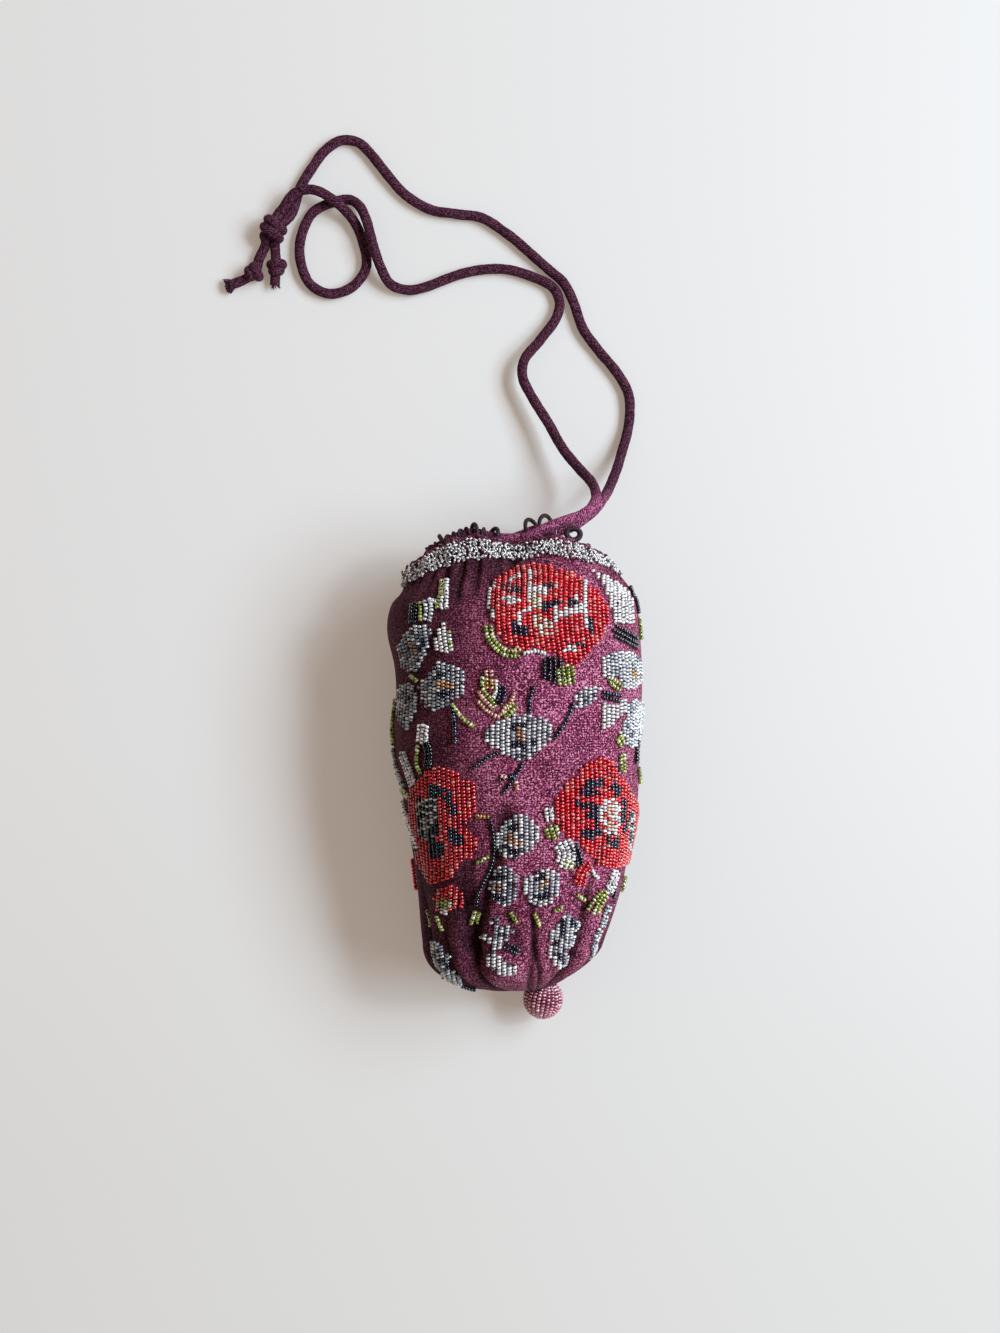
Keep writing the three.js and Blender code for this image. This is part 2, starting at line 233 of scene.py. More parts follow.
def layTube(bm, run, radius, sides, profile=None, closed=False):  # a grid of faces bent into a tube, in mm
    ahead = np.gradient(run, axis=0)
    if closed:
        ahead[0] = ahead[-1] = run[1] - run[-2]
    ahead = unit(ahead)
    across = [unit(np.cross(ahead[0], [0.3, 0.2, 1.0]))]
    for aim in ahead[1:]:
        across.append(unit(across[-1] - aim * (across[-1] @ aim)))
    across = np.array(across)
    beside = np.cross(ahead, across)
    steps = len(run) - 1
    made = bmesh.ops.create_grid(bm, x_segments=sides, y_segments=steps, size=1.0, calc_uvs=True)["verts"]
    flat = np.array([vert.co for vert in made])
    turn = (flat[:, 0] + 1) / 2 * fullTurn
    row = np.rint((flat[:, 1] + 1) / 2 * steps).astype(int)
    reach = radius * (profile(turn, row) if profile else np.ones(len(made)))
    spots = run[row] + reach[:, None] * (np.cos(turn)[:, None] * across[row]
        + np.sin(turn)[:, None] * beside[row])
    for vert, spot in zip(made, spots * mm):
        vert.co = spot


def weld(bm, ends=True):  # seams closed, open ends filled, faces outwards
    bmesh.ops.remove_doubles(bm, verts=bm.verts, dist=1e-7)
    if ends:
        bmesh.ops.holes_fill(bm, edges=[edge for edge in bm.edges if edge.is_boundary], sides=0)
    bmesh.ops.recalc_face_normals(bm, faces=bm.faces)


def sizeGrain(bm, wide, tall, before=frozenset(), bend=float):  # the grain of the new faces, in metres
    uv = bm.loops.layers.uv.active
    for face in bm.faces:
        for loop in () if face in before else face.loops:
            u, v = loop[uv].uv
            loop[uv].uv = (bend(u) * wide, v * tall)


cordSize = {"radius": 2.0, "sides": 16, "step": 0.9, "seam": 0.10, "slub": 0.035, "twist": 46.0,  # mm
    "dark": 0.23, "pale": 0.87, "paleTo": 111.0, "shadeInMouth": 0.26, "shadeRamp": 10.0, "dye": (1.0, 0.84, 0.97)}
strandRoutes = {  # from the mouth to the joining knot, in mm
    "strand_a": [(16.5, 92.3, 24.1), (20.4, 92.7, 24.6), (24.8, 95.2, 24.4), (28.6, 98.0, 23.6),
        (31.6, 100.8, 22.4), (34.4, 104.6, 19.2), (37.4, 110.0, 14.0), (40.0, 116.2, 9.0),
        (42.6, 124.0, 4.8), (45.2, 133.5, 2.4), (46.2, 141.0, 2.1), (45.5, 148.4, 2.1),
        (42.2, 155.0, 2.1), (33.5, 165.8, 2.1), (27.6, 173.9, 2.1), (23.9, 184.2, 2.1),
        (19.7, 192.6, 2.1), (13.7, 197.8, 2.1), (5.0, 205.6, 2.1), (-3.2, 212.4, 2.1),
        (-13.2, 218.5, 2.1), (-22.8, 219.9, 2.1), (-32.7, 221.5, 2.1), (-42.6, 227.0, 2.1),
        (-49.8, 234.7, 2.1), (-57.8, 244.7, 2.1), (-61.8, 248.2, 2.1), (-66.2, 249.4, 2.1),
        (-69.9, 249.0, 2.1), (-75.5, 245.0, 2.1), (-80.2, 238.8, 2.1), (-85.2, 230.3, 2.1),
        (-88.4, 219.9, 3.1), (-89.4, 218.6, 3.4)],
    "strand_b": [(2.9, 88.0, 38.4), (6.8, 89.3, 38.9), (11.5, 92.0, 38.9), (18.0, 94.6, 37.5),
        (25.0, 97.2, 34.2), (29.6, 100.8, 29.4), (31.5, 105.2, 24.6), (30.6, 110.4, 19.4),
        (25.6, 117.0, 14.4), (19.2, 125.2, 11.0), (14.1, 134.6, 9.0), (7.6, 145.4, 7.6),
        (3.4, 154.0, 6.6), (4.0, 161.0, 6.0), (10.0, 168.8, 4.8), (16.6, 178.0, 3.0), (18.2, 184.7, 2.2),
        (16.0, 190.0, 2.1), (11.0, 193.4, 2.1), (-4.4, 198.0, 2.1), (-19.9, 196.4, 2.1),
        (-35.1, 190.9, 2.1), (-42.4, 189.6, 2.2), (-49.0, 191.6, 3.6), (-53.2, 198.5, 5.6),
        (-56.2, 208.0, 6.5), (-58.9, 217.4, 6.0), (-61.6, 222.8, 4.2), (-66.0, 225.6, 2.3),
        (-74.4, 223.9, 2.1), (-81.0, 219.6, 2.1), (-85.1, 209.6, 2.1), (-85.0, 200.4, 2.1),
        (-81.0, 191.8, 2.1), (-73.4, 188.1, 2.1), (-64.2, 191.1, 2.1), (-59.0, 198.4, 2.1),
        (-60.3, 209.0, 2.1), (-64.2, 217.4, 3.6), (-70.4, 223.4, 6.6), (-79.4, 228.4, 6.9),
        (-86.6, 227.3, 6.6), (-91.8, 221.5, 4.8), (-93.2, 219.8, 4.6)],
}


def cordFace(phase):  # the turned tube is not quite round: slubs, and a seam that winds slowly
    def profile(turn, row):
        along = row * cordSize["step"]
        slub = np.sin(along * 0.9 + phase) + np.sin(along * 2.3 + 2 * turn + phase)
        slub += np.sin(3 * turn - along * 0.4)
        fromSeam = np.cos((turn - along / cordSize["twist"] * fullTurn - phase) / 2)
        seam = np.exp(-(fromSeam / cordSize["seam"]) ** 2)
        return 1 + cordSize["slub"] * slub / 2 - cordSize["seam"] * seam
    return profile


def layCord(bm, points, phase=0.0):
    run, length = smoothRoute(points, cordSize["step"])
    before = set(bm.faces)
    layTube(bm, run, cordSize["radius"], cordSize["sides"], cordFace(phase))
    sizeGrain(bm, fullTurn * cordSize["radius"] * mm, length * mm, before)
    return run, length


def startMesh():
    bm = bmesh.new()
    bm.loops.layers.uv.new("clothGrain")
    # a colour layer for the cloth's painted shade, and for the cords' tone and painted shade
    bm.verts.layers.float_color.new("tone_and_painted_shade")
    return bm


woolShadeTint = {"strength": (1.04, 0.93, 0.93), "inDark": (1.0, 0.6, 0.74)}  # red, green, blue


def tintedShade(shade):  # the painted shade as a colour: the plum a little redder all over, and redder still where the painted shade is deep
    return (*(full * shade * (low + (1 - low) * shade) for full, low in zip(*woolShadeTint.values())), 1)


def toneAndShadeCord(bm, leftShade=1.0):  # paler up to where the rings draw it and darker beyond; painted shade on the part drawn into the mouth, darker to the left
    layer = bm.verts.layers.float_color["tone_and_painted_shade"]
    for vert in bm.verts:
        x, y = vert.co.xy / mm
        drawn = ease((cordSize["paleTo"] - y) / cordSize["shadeRamp"])
        shade = cordSize["dark"] + (cordSize["pale"] - cordSize["dark"]) * drawn
        shade *= leftShade + (1 - leftShade) * ease(1 + x / cordSize["shadeRamp"])
        vert[layer] = (*(part * shade for part in cordSize["dye"]), 1)


def keepCord(name, bm, node, leftShade=1.0):
    weld(bm)
    toneAndShadeCord(bm, leftShade)
    return keepPiece(name, bm, [crepeCord], "cord_cloth", node)


strands = {}
for name, route in strandRoutes.items():
    bm = startMesh()
    run, length = layCord(bm, route, phase=len(strands) * 1.9)
    strands[name] = (keepCord("cord_" + name, bm, name), run * mm, length * mm)
print("strands:", {name: round(made[2], 3) for name, made in strands.items()})

knotForm = {"middle": (-95.6, 212.9, 5.6), "aim": (0.45, 1.0, 0.1), "radius": 3.5, "rise": 8.2,
    "turns": 2.4, "start": 2.6}
coreRuns = [[(-88.6, 219.4, 3.2), (-93.2, 213.8, 4.6), (-95.3, 207.6, 3.0)],
    [(-92.9, 220.4, 4.4), (-96.6, 214.0, 5.4), (-99.0, 208.2, 3.0)]]


def wrapRun(middle, aim, radius, rise, turns, start):  # a few turns of cord whose ends tuck under
    aim = unit(np.array(aim))
    side = unit(np.cross(aim, [0.0, 0.0, 1.0]))
    over = np.cross(side, aim)
    t = np.linspace(0, 1, 14 + round(10 * turns))
    swing = start + t * turns * fullTurn
    tuck = radius * (1 - 0.55 * np.abs(2 * t - 1) ** 6)
    spots = np.array(middle) + ((t - 0.5) * rise)[:, None] * aim
    spots += (tuck * np.cos(swing))[:, None] * side + (tuck * np.sin(swing))[:, None] * over
    spots[:, 2] = np.maximum(spots[:, 2], cordSize["radius"] + 0.1)
    return spots


bm = startMesh()
for k, route in enumerate(coreRuns):
    layCord(bm, route, phase=k)
layCord(bm, wrapRun(**knotForm))
joiningKnot = keepCord("cord_joining_knot", bm, "joining_knot")

tailForms = {
    "tail_left": {"route": [(-98.5, 208.9, 3.1), (-99.0, 207.4, 2.6), (-101.6, 202.0, 2.1),
        (-102.8, 197.4, 2.8), (-106.6, 194.3, 2.4), (-111.0, 192.4, 2.1), (-113.4, 191.5, 2.1)],
        "knot": (-103.1, 196.2, 3.8), "aim": (1, 0.9, 0.1), "fray": 80},
    "tail_right": {"route": [(-95.2, 208.4, 3.1), (-95.2, 206.8, 2.6), (-95.0, 203.0, 2.3),
        (-94.6, 198.6, 3.0), (-95.1, 194.8, 2.4), (-95.3, 191.6, 2.1)],
        "knot": (-94.2, 198.6, 3.8), "aim": (-0.35, 1, 0.1), "fray": 12},
}
tailKnot = {"radius": 2.2, "rise": 4.0, "turns": 1.6, "start": 0.8}
frayForm = {"spread": (0.2, 1.0), "reach": (2.0, 3.8), "fan": (0.3, 1.9), "bend": (-0.2, 0.5),
    "radius": 0.17, "sides": 5, "step": 0.7, "lowest": 0.3}  # mm
for name, form in tailForms.items():
    bm = startMesh()
    run = layCord(bm, form["route"], phase=0.7)[0]
    layCord(bm, wrapRun(form["knot"], form["aim"], **tailKnot), phase=2.0)
    ahead = unit(run[-1] - run[-4])
    for k in range(form["fray"]):  # cut yarns stand out of the end
        swing = dice.uniform(0, fullTurn)
        spread = dice.uniform(*frayForm["spread"]) * cordSize["radius"]
        fan = np.array([math.cos(swing) * ahead[1], -math.cos(swing) * ahead[0], math.sin(swing) * 0.7])
        root = run[-3] + fan * spread * 0.85
        tip = root + ahead * dice.uniform(*frayForm["reach"]) + fan * dice.uniform(*frayForm["fan"])
        bend = (root + tip) / 2 + fan * dice.uniform(*frayForm["bend"])
        places = [np.maximum(spot, [-999, -999, frayForm["lowest"]]) for spot in (root, bend, tip)]
        yarn = smoothRoute(places, frayForm["step"])[0]
        layTube(bm, yarn, frayForm["radius"], frayForm["sides"])
    keepCord("cord_" + name, bm, name)
print("knot and tails laid")

clothForm = {"fullness": 2.2, "capTop": -66.0, "rim": 90.0, "neck": 56.0, "wall": 1.5,  # mm
    "overRim": 0.6, "around": 320, "along": 148, "capShare": 0.2, "crowdUp": 0.25, "crowdOver": 0.32}
clothSections = np.array([  # y, left, right, crown, underside
    (-66, -34.8, 34.4, 56.5, -3.0), (-46, -37.4, 40.6, 61.0, -6.0), (-29, -39.6, 43.9, 63.5, -7.0),
    (-8, -43.4, 47.2, 65.5, -7.5), (12, -46.2, 48.2, 66.5, -7.5), (27, -45.4, 48.5, 66.5, -7.0),
    (40, -45.8, 48.6, 66.0, -6.0), (54, -48.6, 47.8, 64.5, -4.0), (66, -47.4, 46.2, 61.0, 0.5),
    (76, -43.4, 43.0, 56.0, 7.0), (84, -41.6, 39.0, 52.3, 12.2), (90, -41.2, 35.4, 48.6, 16.4)])
basePoint = {"x": 9.5, "y": -85.6, "z": 16.5, "bowLeft": 2.4, "bowRight": 1.5}
clothTucks = [  # turn, depth, reach, spread, crease
    (25, 2.0, 40, 10, 0.5), (50, 4.0, 50, 13, 1.4), (80, 1.8, 36, 9, 1.0), (115, 3.6, 50, 13, 1.3),
    (135, 1.8, 36, 10, 0.6), (160, 3.0, 54, 12, 0.9), (190, 2.4, 40, 12, 0.6), (215, 2.0, 30, 11, 0.5),
    (240, 1.8, 24, 11, 0.4), (265, 1.8, 22, 11, 0.3), (290, 1.8, 24, 11, 0.4), (320, 2.2, 32, 12, 0.5),
    (350, 2.6, 44, 12, 0.6)]
mouthForm = {"setLeft": 13.0, "setRight": 9.0, "lipRest": -5.2, "lipPeak": 5.8, "lipTurn": 297,
    "lipSpread": 20, "gathers": 18, "depth": 1.3, "dipTurn": 88, "dipSpread": 15, "dipBack": 4.0,
    "dipDrop": 3.5}


def turnBetween(a, b):
    apart = np.abs(a - b) % fullTurn
    return np.minimum(apart, fullTurn - apart)


def hump(turn, place):  # a smooth rise round one turn of the mouth
    apart = turnBetween(turn, mouthForm[place + "Turn"] * degree)
    return np.exp(-(apart / (mouthForm[place + "Spread"] * degree)) ** 2)


def sectionAt(y, column):  # one column of the section table as a smooth curve
    rows, values = clothSections[:, 0], clothSections[:, column]
    i = np.clip(np.searchsorted(rows, y) - 1, 0, len(rows) - 2)
    before, after = np.maximum(i - 1, 0), np.minimum(i + 2, len(rows) - 1)
    step, rise = rows[i + 1] - rows[i], values[i + 1] - values[i]
    t = (y - rows[i]) / step
    leave = (values[i + 1] - values[before]) / (rows[i + 1] - rows[before]) * step
    arrive = (values[after] - values[i]) / (rows[after] - rows[i]) * step
    return (values[i] + leave * t + (3 * rise - 2 * leave - arrive) * t ** 2
        + (leave + arrive - 2 * rise) * t ** 3)


creaseForm = {"half": 2.4, "full": 1.25, "longer": 1.35}  # degrees; it runs on further up than its tuck


def creaseLine(apart, y, reach):
    up = (y - basePoint["y"]) / (creaseForm["longer"] * reach)
    return np.exp(-(apart / creaseForm["half"]) ** 2) * ease(creaseForm["full"] - up)


foldLines = [  # depth and half width in mm, painted shade (a painted highlight along a ridge where it is below zero), then turn in degrees and row along each loose fold
    (2.4, 3.5, 0.8, [(96.3, -14.4), (101.8, -31.2), (107.6, -46.5), (115.4, -64.0)]),
    (1.2, 2.4, 0.5, [(95.2, -50.0), (91.7, -57.4), (88.5, -65.2)]),
    (1.3, 1.2, 0.8, [(85.0, -47.0), (80.2, -63.3), (69.5, -82.5)]),
    (1.8, 1.9, 0.65, [(50.0, -44.5), (47.0, -56.6), (47.5, -67.2), (50.0, -79.0)]),
    (1.2, 1.6, 0.5, [(22.0, -49.6), (16.0, -62.9), (19.0, -71.9)]),
    (0.8, 4.5, 0.5, [(151.5, -35.9), (155.2, -50.4), (163.5, -66.4)]),
    (-0.9, 1.3, -0.3, [(132.0, -61.7), (118.7, -68.9), (111.8, -75.5), (106.0, -80.6)]),
    (1.2, 2.6, 0.45, [(120.8, -48.4), (118.0, -61.3), (106.8, -71.4)]),
    (0.8, 2.8, 0.4, [(119.8, -34.7), (121.0, -46.1)]),
    (1.9, 2.6, 0.5, [(98.0, 82.6), (99.5, 70.8), (100.5, 59.5)]),
    (1.8, 2.2, 0.45, [(107.8, 81.8), (107.4, 68.0)]),
    (1.8, 2.2, 0.45, [(116.2, 81.0), (115.2, 66.0)]),
    (1.6, 2.2, 0.4, [(124.8, 80.5), (123.4, 67.0)]),
    (1.5, 2.0, 0.4, [(90.5, 82.0), (91.0, 73.0)]),
    (1.2, 1.8, 0.3, [(62.0, 82.0), (61.0, 74.0)]),
]
foldReach = 46.0  # mm round the cloth for each radian of turn


def awayFrom(places, line):  # how far each place lies from a bent line
    away = np.full(places.shape[:-1], 1e9)
    for a, b in zip(line[:-1], line[1:]):
        t = np.clip((places - a) @ (b - a) / ((b - a) @ (b - a)), 0, 1)
        away = np.minimum(away, np.linalg.norm(places - a - t[..., None] * (b - a), axis=-1))
    return away


def foldsAt(turn, y):  # how deep the loose folds are here, and how much light their painted shade leaves in the colour
    here = np.stack([turn * foldReach, y], -1)
    depth, light = np.zeros_like(y), np.ones_like(y)
    for deep, wide, dark, line in foldLines:
        soft = np.exp(-(awayFrom(here, np.array(line) * (degree * foldReach, 1.0)) / wide) ** 2)
        depth = depth + deep * soft
        light = light * (1 - dark * soft)
    return depth, light


rippleForm = {"slack": 0.28, "gather": 0.72, "from": 56.0, "over": 26.0}  # mm; where the neck's folds run


def ripple(turn, y, neck):  # slack in the cloth, and the soft upright folds that the drawn neck pushes down
    slack = np.sin(5 * turn + y * 0.07) + np.sin(9 * turn - y * 0.11 + 1.3) * 0.6
    slack = slack + np.sin(y * 0.16 + 3 * turn) * 0.7
    run = ease((y - rippleForm["from"]) / rippleForm["over"]) * (1 - 0.35 * neck)
    fold = np.sin(37 * turn + 1.6 * np.sin(3 * turn) + y * 0.02)
    fold = fold + 0.5 * np.sin(61 * turn + 2.0 * np.sin(2 * turn))
    gather = rippleForm["gather"] * run * fold * (0.6 + 0.4 * np.sin(2 * turn + 2.6))
    return rippleForm["slack"] * slack + gather


def clothPoint(turn, y, offset=0.0, fine=True, valley=False):  # a place on the bag's outer face, in mm
    turn, y = np.broadcast_arrays(np.asarray(turn, float), np.asarray(y, float))
    side, rise = np.cos(turn), np.sin(turn)
    row = np.maximum(y, clothForm["capTop"])
    left, right = sectionAt(row, 1) - offset, sectionAt(row, 2) + offset
    under, crown = sectionAt(row, 4) - offset, sectionAt(row, 3) + offset
    bow = basePoint["bowLeft"] + (basePoint["bowRight"] - basePoint["bowLeft"]) * (1 + side) / 2
    down = np.clip((clothForm["capTop"] - y) / (clothForm["capTop"] - basePoint["y"] + offset), 0, 1)
    shrink = np.maximum(1 - down ** bow, 0) ** (1 / bow)
    drift = (1 - shrink) ** 2
    midX, midZ = (left + right) / 2, (crown + under) / 2
    midX, midZ = midX + (basePoint["x"] - midX) * drift, midZ + (basePoint["z"] - midZ) * drift
    power = 2 / clothForm["fullness"]
    x = (right - left) / 2 * shrink * np.sign(side) * np.abs(side) ** power
    z = (crown - under) / 2 * shrink * np.sign(rise) * np.abs(rise) ** power

    neck = ease((y - clothForm["neck"]) / (clothForm["rim"] - clothForm["neck"]))
    folds = np.zeros_like(y)
    for at, depth, reach, spread, crease in clothTucks:
        apart = turnBetween(turn, at * degree) / degree
        upTuck = ease(1 - (y - basePoint["y"]) / reach) * np.minimum(1, 2 * shrink)
        folds = folds + depth * ease(1 - apart / spread) * upTuck
        if fine:  # the fold line itself is sharp and runs on further up
            folds = folds + crease * creaseLine(apart, y, reach) * np.minimum(1, 2 * shrink)
    wave = np.ones_like(y) if valley else 0.5 - 0.5 * np.cos(mouthForm["gathers"] * turn)
    pleat = mouthForm["depth"] * neck ** 2 * wave
    if fine:
        pleat = pleat + ripple(turn, y, neck)
        folds = folds + foldsAt(turn, y)[0]
    radius = np.maximum(np.hypot(x, z), clothForm["wall"])
    draw = 1 - (folds + pleat) / radius
    dent = hump(turn, "dip") * neck
    corner = np.where(side < 0, mouthForm["setLeft"], mouthForm["setRight"]) * side ** 2
    lip = mouthForm["lipRest"] * np.maximum(0, -rise) ** 2 + mouthForm["lipPeak"] * hump(turn, "lip")
    stand = neck * (lip - corner) - mouthForm["dipBack"] * dent
    height = midZ + z * draw - mouthForm["dipDrop"] * dent
    return np.stack([midX + x * draw, y + stand, np.maximum(height, -offset)], -1)


paintedShadeForm = {"base": 0.9, "baseFrom": -62, "from": 43.5, "to": 69.0, "lightSide": 0.5,  # mm, shares
    "least": 0.24, "lowest": 0.5, "lowFrom": 18, "lowOver": 14, "tuck": 0.55, "crease": 0.65,
    "darkest": 0.08}


def paintedShadeAt(turn, y):  # painted light and shade on the cloth: lighter on the crown, the side towards the window and the base, painted shade down the far side and in the tucks and folds
    spots = clothPoint(turn, y, fine=False)
    proud = spots[:, 2] + paintedShadeForm["lightSide"] * spots[:, 0]
    proud = proud + paintedShadeForm["base"] * np.maximum(0, paintedShadeForm["baseFrom"] - y)
    shadeRamp = ease((proud - paintedShadeForm["from"]) / (paintedShadeForm["to"] - paintedShadeForm["from"]))
    low = paintedShadeForm["lowest"] * ease((paintedShadeForm["lowFrom"] - spots[:, 2]) / paintedShadeForm["lowOver"])
    shade = np.maximum(paintedShadeForm["least"] + (1 - paintedShadeForm["least"]) * shadeRamp, low)
    # painted shade in the tucks and along their creases
    for at, depth, reach, spread, crease in clothTucks:
        apart = turnBetween(turn, at * degree) / degree
        tuck = ease(1 - apart / spread) * ease(1.1 - (y - basePoint["y"]) / reach) * depth / 4
        line = min(1, crease) * creaseLine(apart, y, reach)
        shade = shade * (1 - paintedShadeForm["tuck"] * tuck) * (1 - paintedShadeForm["crease"] * line)
    return np.clip(shade * foldsAt(turn, y)[1], paintedShadeForm["darkest"], 1)


ringForm = {"radius": 3.3, "slack": 4.2, "empty": 2.5, "wire": 0.7, "gap": 0.3, "deeper": 1.2,  # mm
    "inset": 0.9, "covered": 1.12, "stout": 1.5, "wraps": 26, "ridge": 0.14, "steps": 120, "sides": 8,
    "tip": 18, "slackTip": 32, "flankHang": 60, "topHang": 72, "underHang": (66, 45)}  # degrees


def ringCentre(turn):  # where a ring stands off the mouth's edge, as the drawn cord runs
    def edgeAt(at):
        return clothPoint(at, clothForm["rim"], -ringForm["inset"], fine=False, valley=True)
    along = unit(edgeAt(turn + 5 * degree) - edgeAt(turn - 5 * degree))
    out = unit(np.array([0.0, 1.0, 0.0]) - along * along[1])
    inward = np.cross(along, out)
    left, right = ringForm["underHang"]
    hang = ringForm["topHang"] if math.sin(turn) > 0 else left + (right - left) * (1 + math.cos(turn)) / 2
    tilt = (ringForm["flankHang"] + (hang - ringForm["flankHang"]) * abs(math.sin(turn))) * degree
    stand = ringForm["radius"] + ringForm["wire"] + ringForm["gap"] + ringForm["deeper"] * math.sin(tilt)
    return edgeAt(turn) + out * stand * math.cos(tilt) + inward * stand * math.sin(tilt)


def closer(share):  # columns stand closer on the upper side, where the folds show
    return share - clothForm["crowdOver"] * (1 - np.cos(share * fullTurn)) / fullTurn


def capRow(share):  # rows of the rounded base, closer together at its point
    return basePoint["y"] + (clothForm["capTop"] - basePoint["y"]) * (1 - np.cos(share * math.pi / 2))


bm = startMesh()
shadeLayer = bm.verts.layers.float_color["tone_and_painted_shade"]
made = bmesh.ops.create_grid(bm, x_segments=clothForm["around"], y_segments=clothForm["along"], size=1.0,
    calc_uvs=True)["verts"]
flat = (np.array([vert.co for vert in made])[:, :2] + 1) / 2
turns = closer(flat[:, 0]) * fullTurn
cap = flat[:, 1] / clothForm["capShare"]
body = np.clip((flat[:, 1] - clothForm["capShare"]) / (1 - clothForm["capShare"]), 0, 1)
body = body * (1 + clothForm["crowdUp"] * (1 - body))
bodyRow = clothForm["capTop"] + (clothForm["rim"] + clothForm["overRim"] - clothForm["capTop"]) * body
rows = np.where(cap < 1, capRow(np.clip(cap, 0, 1)), bodyRow)
# painted light and shade in the cloth's colour
for vert, spot, shade in zip(made, clothPoint(turns, rows) * mm, paintedShadeAt(turns, rows)):
    vert.co = spot
    vert[shadeLayer] = tintedShade(shade)
girth, tall = 0.262, 0.211  # metres round and from base to rim, so the weave has one size all over
sizeGrain(bm, girth, tall, bend=closer)
weld(bm, ends=False)
pouchCloth = keepPiece("pouch_cloth", bm, [woolCrepe, cottonLining], "wool_cloth", "pouch")
wall = pouchCloth.modifiers.new("lining", "SOLIDIFY")
wall.thickness = clothForm["wall"] * mm
wall.offset = -1.0
wall.material_offset = 1
wall.material_offset_rim = 0

hemForm = {"radius": 1.15, "inset": 0.7, "steps": 360, "sides": 10, "stitch": 0.36, "pinches": 62,
    "ruffle": 0.5, "waves": 31, "shade": 0.5}  # a rolled hem, pinched by stitches
swing = np.linspace(0, fullTurn, hemForm["steps"] + 1)
run = clothPoint(swing, clothForm["rim"], -hemForm["inset"])
wave = hemForm["ruffle"] * np.sin(swing * hemForm["waves"] + 1.2 * np.sin(5 * swing))
run[:, 1:] += wave[:, None] * (1.0, 0.6)
pinch = 1 - hemForm["stitch"] * np.cos(swing * hemForm["pinches"] / 2) ** 6
bm = startMesh()
layTube(bm, run, hemForm["radius"], hemForm["sides"], lambda turn, row: pinch[row], closed=True)
weld(bm, ends=False)
sizeGrain(bm, fullTurn * hemForm["radius"] * mm, girth)
shadeLayer = bm.verts.layers.float_color["tone_and_painted_shade"]
for vert in bm.verts:
    vert[shadeLayer] = tintedShade(hemForm["shade"])
keepPiece("mouth_hem", bm, [woolCrepe], "wool_cloth")
print("pouch cloth draped:", len(pouchCloth.data.polygons), "faces")

